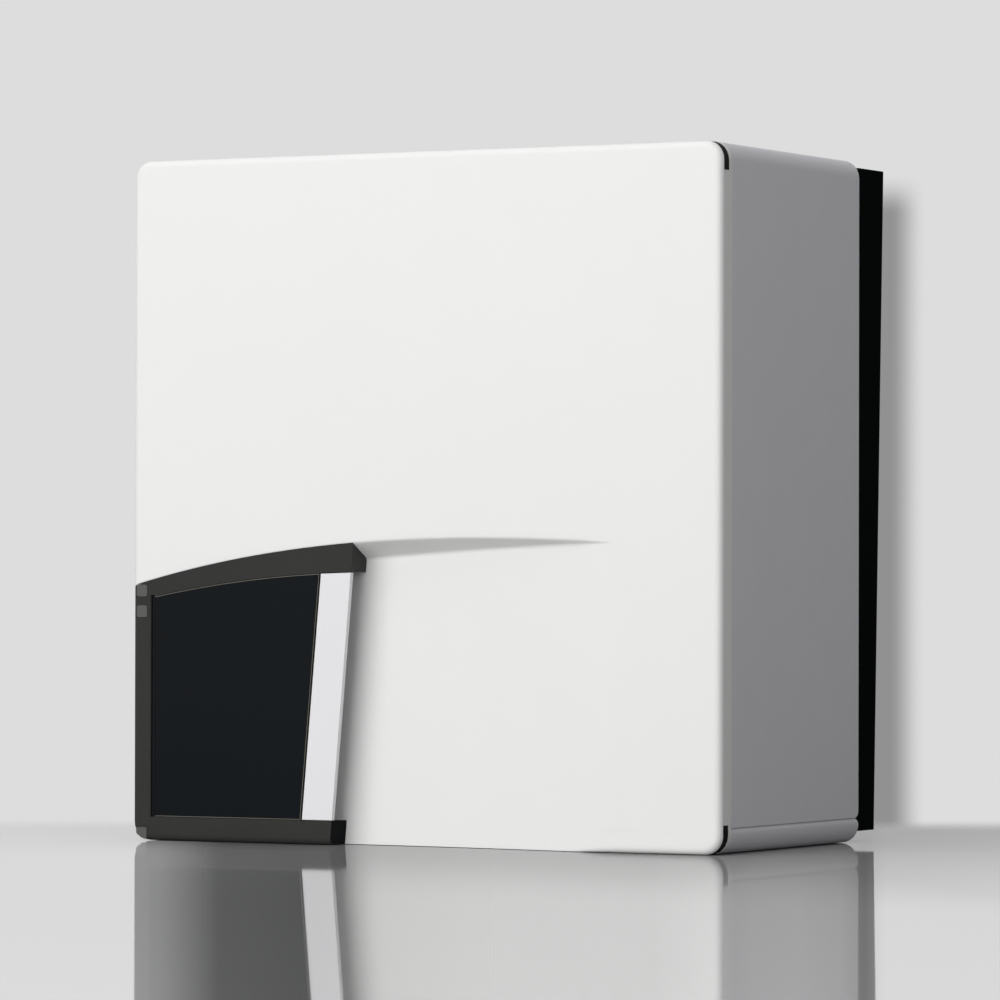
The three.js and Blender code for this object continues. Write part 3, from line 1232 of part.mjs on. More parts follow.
// Flow pipe from the exchanger to the diverter, return pipe from the pump up to the exchanger
const flowY = blockY[0] + 9;
add('flow_pipe', bentBar([[hx.left - fit, hxMiddleY, hx.bottom + 26],
  [hx.left - 50, hxMiddleY, hx.bottom + 26],
  [plates.x, flowY - 20, hx.bottom + 4], [plates.x, flowY, hx.bottom - 21],
    [plates.x, flowY, blockTop + fit]],
7.5, 11), copper);
const returnY = hx.back + 14;
add('return_pipe', bentBar([[pump.x, voluteBack + 16 + fit, pumpZ], [pump.x, returnY, pumpZ],
  [pump.x, returnY, hx.bottom + 40], [pump.x, hx.back + fit, hx.bottom + 40]], 8, 11), copper);

export default boiler;
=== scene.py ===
# A wall-hung combi boiler in a plain studio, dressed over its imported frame. Metres, +Z up.
import json
import math

import bmesh
import bpy
from mathutils import Matrix, Vector


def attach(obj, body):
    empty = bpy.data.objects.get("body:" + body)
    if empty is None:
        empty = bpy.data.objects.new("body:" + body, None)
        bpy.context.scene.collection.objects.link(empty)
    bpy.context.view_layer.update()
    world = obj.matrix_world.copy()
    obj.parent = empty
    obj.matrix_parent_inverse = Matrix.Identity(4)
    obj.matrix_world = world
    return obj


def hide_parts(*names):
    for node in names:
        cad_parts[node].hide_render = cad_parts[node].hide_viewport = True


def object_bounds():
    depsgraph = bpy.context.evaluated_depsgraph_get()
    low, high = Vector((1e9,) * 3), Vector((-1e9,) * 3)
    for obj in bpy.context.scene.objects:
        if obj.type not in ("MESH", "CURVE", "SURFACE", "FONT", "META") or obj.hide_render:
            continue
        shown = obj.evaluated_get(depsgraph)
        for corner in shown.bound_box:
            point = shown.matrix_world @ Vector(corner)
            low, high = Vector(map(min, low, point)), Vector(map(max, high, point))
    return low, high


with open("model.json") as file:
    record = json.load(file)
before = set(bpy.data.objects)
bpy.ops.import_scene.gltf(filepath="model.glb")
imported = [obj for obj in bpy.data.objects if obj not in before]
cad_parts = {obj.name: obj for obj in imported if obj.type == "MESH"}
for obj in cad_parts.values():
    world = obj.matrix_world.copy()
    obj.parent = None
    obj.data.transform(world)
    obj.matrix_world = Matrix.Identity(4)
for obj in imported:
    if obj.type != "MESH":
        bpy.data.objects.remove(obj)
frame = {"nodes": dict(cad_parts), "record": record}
frameLow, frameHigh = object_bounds()
mm = 0.001
frontFace = frameLow.y                 # the plane that the front cover's face lies in
halfWidth = frameHigh.x
height = frameHigh.z
scene = bpy.context.scene


# Linear colour of a six digit sRGB code
def srgb(code):
    channels = [int(code[i:i + 2], 16) / 255 for i in (0, 2, 4)]
    return [c / 12.92 if c <= 0.04045 else ((c + 0.055) / 1.055) ** 2.4 for c in channels]


# Adds a node, sets its properties, and sets or links its inputs
def addNode(tree, kind, settings=None, inputs=None):
    node = tree.nodes.new(kind)
    for name, value in (settings or {}).items():
        setattr(node, name, value)
    for name, value in (inputs or {}).items():
        socket = node.inputs[name]
        if isinstance(value, bpy.types.NodeSocket):
            tree.links.new(value, socket)
        elif socket.type == "RGBA" and len(value) == 3:
            socket.default_value = (*value, 1)
        else:
            socket.default_value = value
    return node


def newObject(name, mesh):
    piece = bpy.data.objects.new(name, mesh)
    scene.collection.objects.link(piece)
    return piece


# Smooth faces, with the edges that turn by more than the angle left sharp
def smoothByAngle(mesh, degrees):
    mesh.shade_smooth()
    work = bmesh.new()
    work.from_mesh(mesh)
    limit = math.radians(degrees)
    for edge in work.edges:
        edge.smooth = len(edge.link_faces) == 2 and edge.calc_face_angle(0) < limit
    work.to_mesh(mesh)
    work.free()


# What every finish shares: fine grain over faint clouds as wide as a hand. Sizes in millimetres
finishGrain = {
    "cloud": 111.11, "cloudDetail": 2.0, "grainDetail": 3.0, "relief": 0.25,
    "shadeFrom": 0.6, "shadeTo": 1.4, "glossFrom": 0.3, "glossTo": 0.7, "glossSwing": 0.08,
}


# A material whose grain, grain millimetres across, shows in its colour and its relief
def surface(name, colour, rough, grain, mottle=0.0, bump=0.0, metal=0.0, **uniform):
    material = bpy.data.materials.new(name)
    material.use_nodes = True
    tree = material.node_tree
    shader = tree.nodes["Principled BSDF"]
    shader.inputs["Metallic"].default_value = metal
    for socket, value in uniform.items():
        shader.inputs[socket.replace("_", " ")].default_value = value
    place = addNode(tree, "ShaderNodeTexCoord")
    grainNoise = addNode(tree, "ShaderNodeTexNoise", inputs={
        "Vector": place.outputs["Object"], "Scale": 1 / (grain * mm), "Detail": finishGrain["grainDetail"]})
    cloudNoise = addNode(tree, "ShaderNodeTexNoise", inputs={
        "Vector": place.outputs["Object"], "Scale": 1 / (finishGrain["cloud"] * mm),
        "Detail": finishGrain["cloudDetail"]})
    mixed = addNode(tree, "ShaderNodeMath", {"operation": "ADD"}, {
        0: grainNoise.outputs["Fac"], 1: cloudNoise.outputs["Fac"]})
    shade = addNode(tree, "ShaderNodeMapRange", inputs={
        "Value": mixed.outputs["Value"],
        "From Min": finishGrain["shadeFrom"], "From Max": finishGrain["shadeTo"],
        "To Min": 1 - mottle, "To Max": 1 + mottle})
    tint = addNode(tree, "ShaderNodeVectorMath", {"operation": "SCALE"}, {
        0: srgb(colour), "Scale": shade.outputs["Result"]})
    tree.links.new(tint.outputs["Vector"], shader.inputs["Base Color"])
    gloss = addNode(tree, "ShaderNodeMapRange", inputs={
        "Value": cloudNoise.outputs["Fac"],
        "From Min": finishGrain["glossFrom"], "From Max": finishGrain["glossTo"],
        "To Min": rough * (1 - finishGrain["glossSwing"]),
        "To Max": min(1.0, rough * (1 + finishGrain["glossSwing"]))})
    tree.links.new(gloss.outputs["Result"], shader.inputs["Roughness"])
    if bump:
        relief = addNode(tree, "ShaderNodeBump", inputs={
            "Height": grainNoise.outputs["Fac"], "Strength": bump,
            "Distance": finishGrain["relief"] * mm})
        tree.links.new(relief.outputs["Normal"], shader.inputs["Normal"])
    return material


# Coats and moulded grain are about 0.2 mm across in life. They are drawn at about 1 mm, so that they show
materials = {
    # white powder coat on pressed steel: even and matt, with a trace of texture close by
    "coverCoat": surface("white_powder_coat", "f0f0ef", 0.55, 1.1, mottle=0.012, bump=0.12),
    # greyer powder coat on folded sheet: flatter, and slightly cloudy
    "casingCoat": surface("grey_powder_coat", "e4e4e9", 0.6, 1.3, mottle=0.045, bump=0.22,
                          Specular_IOR_Level=0.3),
    # dead black coat on the frame that stands off the wall, with no shine
    "frameCoat": surface("black_coat", "141816", 0.6, 1.5, mottle=0.1, bump=0.15,
                         Specular_IOR_Level=0.0),
    # dark plastic moulded with spark-eroded grain: a dull, sandy charcoal
    "grainedPlastic": surface("grained_plastic", "323231", 0.62, 0.9, mottle=0.16, bump=0.5,
                              Specular_IOR_Level=0.25),
    # plain black moulded plastic, that swallows most of the light
    "blackPlastic": surface("black_plastic", "121315", 0.5, 0.9, mottle=0.1, bump=0.3,
                            Specular_IOR_Level=0.02),
    # smoked acrylic with a polished face: near black, with a cold and even sheen
    "smokedAcrylic": surface("smoked_acrylic", "101417", 0.12, 2.0, mottle=0.05,
                             Specular_IOR_Level=0.1),
    # satin white moulded plastic, a little cooler than the coat
    "gripPlastic": surface("satin_white_plastic", "e9e9eb", 0.45, 1.2, mottle=0.015, bump=0.1),
    # smoky grey moulded caps, paler than the band they sit in
    "capPlastic": surface("smoky_cap_plastic", "545452", 0.4, 1.0, mottle=0.08, bump=0.1),
    # glossy grey-green lens, like a display that is off
    "lensPlastic": surface("clear_lens", "3c4a40", 0.08, 2.0, mottle=0.03),
    # clear acrylic, so the dial shows behind the gauge's window
    "clearAcrylic": surface("clear_acrylic", "f4f6f5", 0.04, 2.0, Transmission_Weight=1.0, IOR=1.49),
    # drawn metal strip that catches a thin dull line of light
    "brightTrim": surface("bright_trim", "7f7d75", 0.35, 1.0, mottle=0.05, bump=0.1, metal=1.0),
    # galvanised sheet with broad pale flakes
    "zincSheet": surface("zinc_sheet", "b4b8bb", 0.38, 6.0, mottle=0.1, bump=0.1, metal=1.0),
    # sand-cast aluminium: grey, rough and pitted
    "castAluminium": surface("cast_aluminium", "9ea2a5", 0.52, 1.2, mottle=0.12, bump=0.6, metal=1.0),
    # machined brass: warm yellow with a soft shine
    "brass": surface("machined_brass", "b8964e", 0.3, 1.0, mottle=0.08, bump=0.1, metal=1.0),
    # drawn copper tube: warm red, slightly stained
    "copper": surface("copper_tube", "b87452", 0.32, 3.0, mottle=0.1, bump=0.1, metal=1.0),
    # red stove enamel with a mild orange-peel
    "redEnamel": surface("red_enamel", "9e241e", 0.35, 1.5, mottle=0.05, bump=0.15),
    # blue-grey moulded plastic, half matt
    "bluePlastic": surface("blue_grey_plastic", "3c556e", 0.45, 1.5, mottle=0.05, bump=0.1),
    # green solder mask on glass laminate
    "circuitBoard": surface("circuit_board", "1f5c37", 0.4, 2.0, mottle=0.15, bump=0.1),
}

# Which solids wear which finish, and by how many millimetres their edges are rounded
finishes = {
    "casingCoat": {"edge": 0.5, "nodes": ["casing", "bottom_tray"]},
    "frameCoat": {"edge": 0.5, "nodes": ["wall_frame"]},
    "grainedPlastic": {"edge": 0.5, "nodes": ["flap_surround", "control_fascia"]},
    "blackPlastic": {"edge": 0.3, "nodes": [
        "corner_insert_upper_left", "corner_insert_upper_right", "corner_insert_lower_right",
        "control_box", "mains_rocker", "gauge_cup", "cable_gland", "fan_motor",
        "fan_impeller", "pump_wheel", "diverter_actuator", "condensate_sump", "flue_collar", "air_collar"]},
    "smokedAcrylic": {"edge": 0.15, "nodes": ["flap_pane", "flap_carrier"]},
    "gripPlastic": {"edge": 0.5, "nodes": [
        "flap_grip", "button_1", "button_2", "button_3", "button_4", "flue_pipe"]},
    "capPlastic": {"edge": 0.3, "nodes": ["hinge_cap_high", "hinge_cap_middle", "hinge_cap_low"]},
    "lensPlastic": {"edge": 0.2, "nodes": ["display_lens"]},
    "clearAcrylic": {"edge": 0.2, "nodes": ["gauge_window"]},
    "brightTrim": {"edge": 0.0, "nodes": ["flap_trim", "flap_hinge_pin_lower", "flap_hinge_pin_upper"]},
    "zincSheet": {"edge": 0.3, "nodes": ["rear_panel", "hanging_rail", "plate_exchanger"]},
    "castAluminium": {"edge": 0.8, "nodes": [
        "heat_exchanger", "burner_hood", "fan_housing", "venturi", "gas_valve", "pump_volute"]},
    "brass": {"edge": 0.3, "nodes": [
        "heating_flow_tail", "hot_water_tail", "gas_tail", "cold_water_tail", "heating_return_tail",
        "gas_pipe", "flow_block", "return_block"]},
    "copper": {"edge": 0.0, "nodes": ["flow_pipe", "return_pipe"]},
    "redEnamel": {"edge": 0.4, "nodes": ["expansion_vessel", "pump_motor", "gauge_needle"]},
    "bluePlastic": {"edge": 0.4, "nodes": ["condensate_trap"]},
    "circuitBoard": {"edge": 0.0, "nodes": ["control_board"]},
}
bodyOf = {node: body for body, nodes in frame["record"]["behaviour"]["bodies"].items() for node in nodes}

# How the solids are softened: the weld in millimetres, the angles in degrees
softening = {"weld": 0.002, "flat": 0.8, "sharp": 32.0, "segments": 2}


# A piece on a solid's own shape, with its sharp edges rounded by edge millimetres
def softened(node, material, edge):
    mesh = frame["nodes"][node].data.copy()
    work = bmesh.new()
    work.from_mesh(mesh)
    bmesh.ops.remove_doubles(work, verts=work.verts, dist=softening["weld"] * mm)
    bmesh.ops.dissolve_limit(work, angle_limit=math.radians(softening["flat"]),
                             verts=work.verts, edges=work.edges)
    work.to_mesh(mesh)
    work.free()
    smoothByAngle(mesh, softening["sharp"])
    mesh.materials.clear()
    mesh.materials.append(materials[material])
    piece = newObject(node + "_soft", mesh)
    if edge:
        rounding = piece.modifiers.new("rounding", "BEVEL")
        rounding.width = edge * mm
        rounding.segments = softening["segments"]
        rounding.limit_method = "ANGLE"
        rounding.angle_limit = math.radians(softening["sharp"])
        rounding.use_clamp_overlap = True
        rounding.harden_normals = True
    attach(piece, bodyOf[node])
    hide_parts(node)
    return piece


dressed = {node: softened(node, material, finish["edge"])
           for material, finish in finishes.items() for node in finish["nodes"]}
print("solids dressed")


# The tray's side walls curve in towards their top edge, like half a bead. Millimetres
bead = {"from": 20.6, "top": 25.6, "sink": 1.8, "skin": 2.1, "steps": 5}


def curveTray():
    mesh = dressed["bottom_tray"].data
    work = bmesh.new()
    work.from_mesh(mesh)
    span = bead["top"] - bead["from"]
    for step in range(bead["steps"]):
        level = (bead["from"] + span * step / bead["steps"]) * mm
        bmesh.ops.bisect_plane(work, geom=work.verts[:] + work.edges[:] + work.faces[:], dist=1e-6,
                               plane_co=(0, 0, level), plane_no=(0, 0, 1))
    for vert in work.verts:
        share = max(0, (vert.co.z / mm - bead["from"]) / span)
        if abs(vert.co.x) > halfWidth - bead["skin"] * mm and share > 0:
            vert.co.x -= math.copysign(bead["sink"] * share ** 2 * mm, vert.co.x)
    work.to_mesh(mesh)
    work.free()
    smoothByAngle(mesh, softening["sharp"])


# Painted shade: the right-hand end face of the surround's lower band gets black plastic for the shade it
# lies in.
# It is the face below top and right of left, in millimetres
bandEndShade = {"facing": 0.7, "top": 26.0, "left": -200.0}


def shadeBandEnd():
    mesh = dressed["flap_surround"].data
    # painted shade: black plastic on the band's end face, which lies in shade
    mesh.materials.append(materials["blackPlastic"])
    for face in mesh.polygons:
        low = face.center.z < bandEndShade["top"] * mm and face.center.x > bandEndShade["left"] * mm
        if low and face.normal.x > bandEndShade["facing"]:
            face.material_index = 1


curveTray()
shadeBandEnd()
print("tray curved, band end darkened")


# White dial of the pressure gauge, with marks from end to end of the needle's turn. Millimetres, degrees
dial = {
    "x": -264.0, "z": 78.0, "front": 44.0, "radius": 21.6, "rim": 1.4, "relief": 0.25, "turn": 120.0,
    "fine": {"count": 25, "length": 2.2, "width": 0.45},
    "bold": {"count": 5, "length": 4.0, "width": 1.0},
    "facing": 0.9, "reach": 0.3,       # how squarely the dial's face looks forward, and how near its plane
}


def whitenDial():
    mesh = dressed["gauge_cup"].data
    mesh.materials.append(materials["gripPlastic"])
    level = frontFace + dial["front"] * mm
    for face in mesh.polygons:
        if face.normal.y < -dial["facing"] and abs(face.center.y - level) < dial["reach"] * mm:
            face.material_index = 1


# A ring of bars: each stands at the centre, is pushed out to the rim and turned to its own place
def markTree():
    tree = bpy.data.node_groups.new("dial_marks", "GeometryNodeTree")
    for name, kind in (("Count", "Int"), ("Length", "Float"), ("Size", "Vector"), ("Radius", "Float"),
                       ("Turn", "Float"), ("Centre", "Vector"), ("Finish", "Material")):
        tree.interface.new_socket(name, in_out="INPUT", socket_type="NodeSocket" + kind)
    tree.interface.new_socket("Geometry", in_out="OUTPUT", socket_type="NodeSocketGeometry")
    given = addNode(tree, "NodeGroupInput").outputs
    bar = addNode(tree, "GeometryNodeMeshCube", inputs={"Size": given["Size"]})
    inward = addNode(tree, "ShaderNodeMath", {"operation": "MULTIPLY_ADD"}, {
        0: given["Length"], 1: -0.5, 2: given["Radius"]})
    reach = addNode(tree, "ShaderNodeCombineXYZ", inputs={"Z": inward.outputs["Value"]})
    placed = addNode(tree, "GeometryNodeTransform", inputs={
        "Geometry": bar.outputs["Mesh"], "Translation": reach.outputs["Vector"]})
    seats = addNode(tree, "GeometryNodeMeshLine", inputs={"Count": given["Count"], "Offset": (0, 0, 0)})
    last = addNode(tree, "ShaderNodeMath", {"operation": "SUBTRACT"}, {0: given["Count"], 1: 1.0})
    share = addNode(tree, "ShaderNodeMath", {"operation": "DIVIDE"}, {
        0: addNode(tree, "GeometryNodeInputIndex").outputs["Index"], 1: last.outputs["Value"]})
    side = addNode(tree, "ShaderNodeMath", {"operation": "MULTIPLY_ADD"}, {
        0: share.outputs["Value"], 1: 2.0, 2: -1.0})
    angle = addNode(tree, "ShaderNodeMath", {"operation": "MULTIPLY"}, {
        0: side.outputs["Value"], 1: given["Turn"]})
    turn = addNode(tree, "ShaderNodeCombineXYZ", inputs={"Y": angle.outputs["Value"]})
    ring = addNode(tree, "GeometryNodeInstanceOnPoints", inputs={
        "Points": seats.outputs["Mesh"], "Instance": placed.outputs["Geometry"],
        "Rotation": turn.outputs["Vector"]})
    centred = addNode(tree, "GeometryNodeTransform", inputs={
        "Geometry": ring.outputs["Instances"], "Translation": given["Centre"]})
    whole = addNode(tree, "GeometryNodeRealizeInstances", inputs={"Geometry": centred.outputs["Geometry"]})
    painted = addNode(tree, "GeometryNodeSetMaterial", inputs={
        "Geometry": whole.outputs["Geometry"], "Material": given["Finish"]})
    addNode(tree, "NodeGroupOutput", inputs={"Geometry": painted.outputs["Geometry"]})
    return tree


def makeMarks(tree, name, mark):
    maker = newObject(name + "_maker", bpy.data.meshes.new(name + "_maker"))
    marks = maker.modifiers.new("marks", "NODES")
    marks.node_group = tree
    values = {
        "Count": mark["count"], "Length": mark["length"] * mm, "Radius": (dial["radius"] - dial["rim"]) * mm,
        "Size": (mark["width"] * mm, dial["relief"] * mm, mark["length"] * mm),
        "Turn": math.radians(dial["turn"]), "Finish": materials["blackPlastic"],
        "Centre": (dial["x"] * mm, frontFace + (dial["front"] - dial["relief"] / 2) * mm, dial["z"] * mm),
    }
    for socket in tree.interface.items_tree:
        if socket.in_out == "INPUT":
            marks[socket.identifier] = values[socket.name]
    bpy.context.view_layer.update()
    whole = maker.evaluated_get(bpy.context.evaluated_depsgraph_get())
    mesh = bpy.data.meshes.new_from_object(whole)
    bpy.data.objects.remove(maker)
    piece = newObject(name, mesh)
    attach(piece, bodyOf["gauge_cup"])


whitenDial()
dialTree = markTree()
makeMarks(dialTree, "dial_fine_marks", dial["fine"])
makeMarks(dialTree, "dial_bold_marks", dial["bold"])
print("gauge dial marked")


# Front cover: a flat face with an arc-shaped ledge over a scoop that runs out to the right.
# Millimetres, with x from the middle, z from the foot and depths from the face
cover = {
    "round": 7.0, "roundEnd": 0.07, "corner": 19.0, "wall": 2.2,
    "rim": 23.7, "lip": 35.7, "lipRound": 1.5, "lipBlend": 3.0, "lipEnd": 0.6,
    "arcLeftHeight": 262.2, "arcLeftSlope": 0.278,
    "arcTip": 209.0, "arcTipHeight": 307.1, "arcTipSlope": -0.052,
    "scoopDepth": 31.5, "scoopStart": -90.0, "scoopTaper": 1.8, "ledgeSlope": 0.48,
    "outerRound": 1.6, "innerRound": 3.0, "tipBlend": 3.0,
    "windowX": -124.5, "windowZ": 279.0, "windowTop": 306.0, "windowLean": 0.086,
    "grooveFrom": 6.0, "grooveTo": 17.4, "grooveLeg": 29.0, "grooveDepth": 1.8,
    "tuck": 2.3, "tuckSlack": 0.1,     # what lies deeper than the rim draws in by this much
}

# Where the cover's mesh lines run. Millimetres, degrees and shares of a length
coverLines = {
    "border": 22.0, "insets": [22.0, 14.0, 9.0], "roundAngles": range(0, 76, 15), "rimRow": 12.0,
    "wideStep": 8.0, "wideCount": 23, "fineStep": 2.9, "fineCount": 120, "borderGap": 3.0, "legGap": 0.1,
    "upper": [0.9, 0.75, 0.6, 0.45, 0.3, 0.18, 0.09, 0.04, 0.015],
    "lower": [0.03, 0.08, 0.16, 0.3, 0.45, 0.6, 0.75, 0.88, 0.95],
    "bendSteps": 6, "outerMost": 0.3, "innerMost": 0.45, "slope": [0.25, 0.5, 0.75], "spread": 0.12,
    "cornerSteps": 8, "edgeSlack": 0.01, "weld": 0.004, "sharp": 60.0,
}


def smoothMax(a, b, blend):
    share = max(0.0, blend - abs(a - b)) / blend
    return max(a, b) + share ** 2 * blend / 4


# Height of the ledge at x, a curve with a set height and slope at either end
def arcHeight(x):
    left = -halfWidth / mm
    span = cover["arcTip"] - left
    t = min(1, (x - left) / span)
    leftHeight = (2 * t ** 3 - 3 * t ** 2 + 1) * cover["arcLeftHeight"]
    tipHeight = (3 * t ** 2 - 2 * t ** 3) * cover["arcTipHeight"]
    leftSlope = (t ** 3 - 2 * t ** 2 + t) * cover["arcLeftSlope"]
    tipSlope = (t ** 3 - t ** 2) * cover["arcTipSlope"]
    return leftHeight + tipHeight + span * (leftSlope + tipSlope)


def scoopDepth(x):
    t = max(0, (x - cover["scoopStart"]) / (cover["arcTip"] - cover["scoopStart"]))
    return smoothMax(cover["scoopDepth"] * (1 - t ** cover["scoopTaper"]), 0, cover["tipBlend"])


# The leaning right edge of the window that the flap sits in
def windowEdge(z):
    return cover["windowX"] + cover["windowLean"] * (z - cover["windowZ"])


# Pairs of drop below the arc and depth behind the face, over the rounded ledge at x
def ledgeProfile(x):
    depth = scoopDepth(x)
    drop = cover["ledgeSlope"] * depth
    length = math.hypot(depth, drop)
    outer = min(cover["outerRound"], coverLines["outerMost"] * length)
    inner = min(cover["innerRound"], coverLines["innerMost"] * length)
    along = (drop / length, depth / length) if length > 1e-6 else (1.0, 0.0)
    steps = coverLines["bendSteps"]
    points = []

    def bend(start, middle, end):
        for i in range(steps + 1):
            t = i / steps
            points.append(tuple((1 - t) ** 2 * a + 2 * t * (1 - t) * b + t ** 2 * c
                                for a, b, c in zip(start, middle, end)))

    bend((-outer, 0), (0, 0), (along[0] * outer, along[1] * outer))
    for share in coverLines["slope"]:
        reach = outer + share * (length - outer - inner)
        points.append((along[0] * reach, along[1] * reach))
    bend((along[0] * (length - inner), along[1] * (length - inner)), (drop, depth), (drop + inner, depth))
    # The spread keeps the rows apart where the ledge dies out
    return [(down + coverLines["spread"] * i, back) for i, (down, back) in enumerate(points)]


# Depth of the rounded edge of the face at a distance inside its outline
def faceRounding(inset):
    gap = max(0.0, cover["round"] - inset)
    return cover["round"] - math.sqrt(cover["round"] ** 2 - gap ** 2)


def makeCover():
    border = coverLines["border"]
    right = halfWidth / mm
    top = height / mm
    left = -right
    legEdges = [cover["grooveLeg"] - coverLines["legGap"], cover["grooveLeg"] + coverLines["legGap"]]
    columns = [left + border + i * coverLines["wideStep"] for i in range(coverLines["wideCount"])]
    columns += [windowEdge(cover["windowTop"]) + i * coverLines["fineStep"]
                for i in range(coverLines["fineCount"])]
    columns = [x for x in columns if x < right - border - coverLines["borderGap"]] + [right - border]
    columns = sorted(columns + [side * (right - edge) for side in (-1, 1) for edge in legEdges])
    firstLow = next(i for i, x in enumerate(columns)
                    if x >= windowEdge(arcHeight(x)) - coverLines["edgeSlack"])
    insets = coverLines["insets"] + [cover["round"] * (1 - math.sin(math.radians(angle)))
                                     for angle in coverLines["roundAngles"]]

    work = bmesh.new()
    made = {}

    def vertex(x, y, z):
        key = (round(x, 4), round(y, 4), round(z, 4))
        if key not in made:
            made[key] = work.verts.new((x * mm, frontFace + y * mm, z * mm))
        return made[key]

    def face(*corners):
        distinct = list(dict.fromkeys(corners))
        if len(distinct) > 2 and not work.faces.get(distinct):
            work.faces.new(distinct)

    # Faces between neighbouring lines of points
    def strip(lines):
        for a, b in zip(lines, lines[1:]):
            for j in range(min(len(a), len(b)) - 1):
                face(vertex(*a[j]), vertex(*a[j + 1]), vertex(*b[j + 1]), vertex(*b[j]))

    # Lower columns lean with the window's edge, and stand upright at the tip
    def leaned(x, z, arc):
        share = max(0.0, 1 - (x - columns[firstLow]) / (cover["arcTip"] - columns[firstLow]))
        return x + cover["windowLean"] * (z - arc) * share

    # Points down one column: the face, the ledge and, right of the window, the scoop's floor
    def columnPoints(i):
        x = columns[i]
        arc = arcHeight(x)
        profile = ledgeProfile(x)
        start = arc - profile[0][0]
        points = [(x, 0.0, top - edge) for edge in (border, *legEdges)]
        points += [(x, 0.0, start + share * (top - border - start)) for share in coverLines["upper"]]
        points += [(x, depth, arc - drop) for drop, depth in profile]
        if i >= firstLow:
            low = arc - profile[-1][0]
            lowerRows = [low + share * (border - low) for share in coverLines["lower"]]
            for z in lowerRows + [legEdges[1], legEdges[0], border]:
                xLow = leaned(x, z, arc)
                points.append((xLow, scoopDepth(xLow), z))
        return points

    # Pairs of inset and depth down the rim; a groove for an insert runs round three corners
    def rimProfile(depth, last, grooved):
        first, end, sink = cover["grooveFrom"], cover["grooveTo"], cover["grooveDepth"]
        if grooved:
            return [(cover["roundEnd"], first), (sink, first), (sink, end), (0, end), (0, last)]
        start = max(depth, cover["round"])
        rows = [start, max(start, coverLines["rimRow"]), max(start, end), max(start, last)]
        return [(cover["roundEnd"], max(depth, first))] + [(0, row) for row in rows]

    def nearCorner(x, z):
        leg = cover["grooveLeg"]
        return right - abs(x) < leg and min(z, top - z) < leg and (x > 0 or z > leg)

    # Points from the inner border line out to the outline and back along the rim
    def borderLine(x, y, z, outX, outZ, lip=False):
        line = []
        fadeFrom = arcHeight(x) + cover["outerRound"]
        fade = min(1, max(0, (top - border - z) / (top - border - fadeFrom))) if outX < 0 else 0

        def place(inset, depth):
            px = x + outX * (border - inset)
            pz = z + outZ * (border - inset) + fade * (arcHeight(px) - arcHeight(x))
            return (px, depth, pz)

        for inset in insets:
            depth = max(y if outX < 0 else 0, faceRounding(inset))
            px = x + outX * (border - inset)
            if lip and scoopDepth(px) > 0:
                floorDepth = scoopDepth(px) + faceRounding(inset + cover["round"] - cover["lipRound"])
                depth = smoothMax(depth, floorDepth, cover["lipBlend"])
            line.append(place(inset, depth))
        depth = line[-1][1]
        lowered = lip and x < right - cover["corner"] - cover["lipEnd"]
        last = cover["lip"] if lowered else cover["rim"]
        grooved = nearCorner(*place(0, 0)[::2])
        line += [place(inset, reach) for inset, reach in rimProfile(depth, last, grooved)]
        return line

    # Lines that fan out from an inner corner over the rounded corner of the outline
    def cornerLines(sideX, sideZ):
        centreX = sideX * (right - cover["corner"])
        centreZ = top - cover["corner"] if sideZ > 0 else cover["corner"]
        innerX = sideX * (right - border)
        innerZ = top - border if sideZ > 0 else border
        pairs = [(inset, faceRounding(inset)) for inset in insets[1:]]
        pairs += rimProfile(0, cover["rim"], True)
        lines = []
        for i in range(coverLines["cornerSteps"] + 1):
            angle = math.pi / 2 * i / coverLines["cornerSteps"]
            line = [(innerX, 0.0, innerZ)]
            for inset, depth in pairs:
                radius = cover["corner"] - inset
                line.append((centreX + sideX * radius * math.sin(angle), depth,
                             centreZ + sideZ * radius * math.cos(angle)))
            lines.append(line)
        return lines

    grid = [columnPoints(i) for i in range(len(columns))]
    strip(grid)
    topLines = [borderLine(x, 0, top - border, 0, 1) for x in columns]
    rightLines = [borderLine(x, 0, z, 1, 0) for x, y, z in grid[-1]]
    leftLines = [borderLine(x, y, z, -1, 0) for x, y, z in reversed(grid[0])]
    lowPoints = [grid[i][-1] for i in range(firstLow, len(grid))]
    lowLines = [borderLine(x, 0, z, 0, -1, lip=True) for x, y, z in reversed(lowPoints)]
    upperLeft, upperRight, lowerRight = cornerLines(-1, 1), cornerLines(1, 1), cornerLines(1, -1)
    strip(leftLines + upperLeft[::-1] + topLines + upperRight + rightLines + lowerRight[::-1] + lowLines)

    bmesh.ops.remove_doubles(work, verts=work.verts, dist=coverLines["weld"] * mm)
    bmesh.ops.recalc_face_normals(work, faces=work.faces)
    bmesh.ops.solidify(work, geom=work.faces[:], thickness=cover["wall"] * mm)
    for vert in work.verts:                # what lies deeper than the rim tucks in behind the casing's sheet
        deep = vert.co.y > frontFace + (cover["rim"] + cover["tuckSlack"]) * mm
        limit = halfWidth - (cover["tuck"] * mm if deep else 0)
        vert.co.x = max(-limit, min(limit, vert.co.x))
    mesh = bpy.data.meshes.new("cover_panel")
    work.to_mesh(mesh)
    work.free()
    smoothByAngle(mesh, coverLines["sharp"])
    mesh.materials.append(materials["coverCoat"])
    piece = newObject("cover_panel", mesh)
    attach(piece, "front_cover")
    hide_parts("front_cover")


makeCover()
print("front cover made")


# Camera at the photograph's viewpoint. Metres, degrees and a lens in millimetres
shot = {
    "x": 2.8576, "y": frontFace - 5.14706, "z": 0.2738, "yaw": 28.247, "pitch": 0.731, "roll": 0.12,
    "lens": 211.03, "sensor": 36.0, "farthest": 100.0,
}


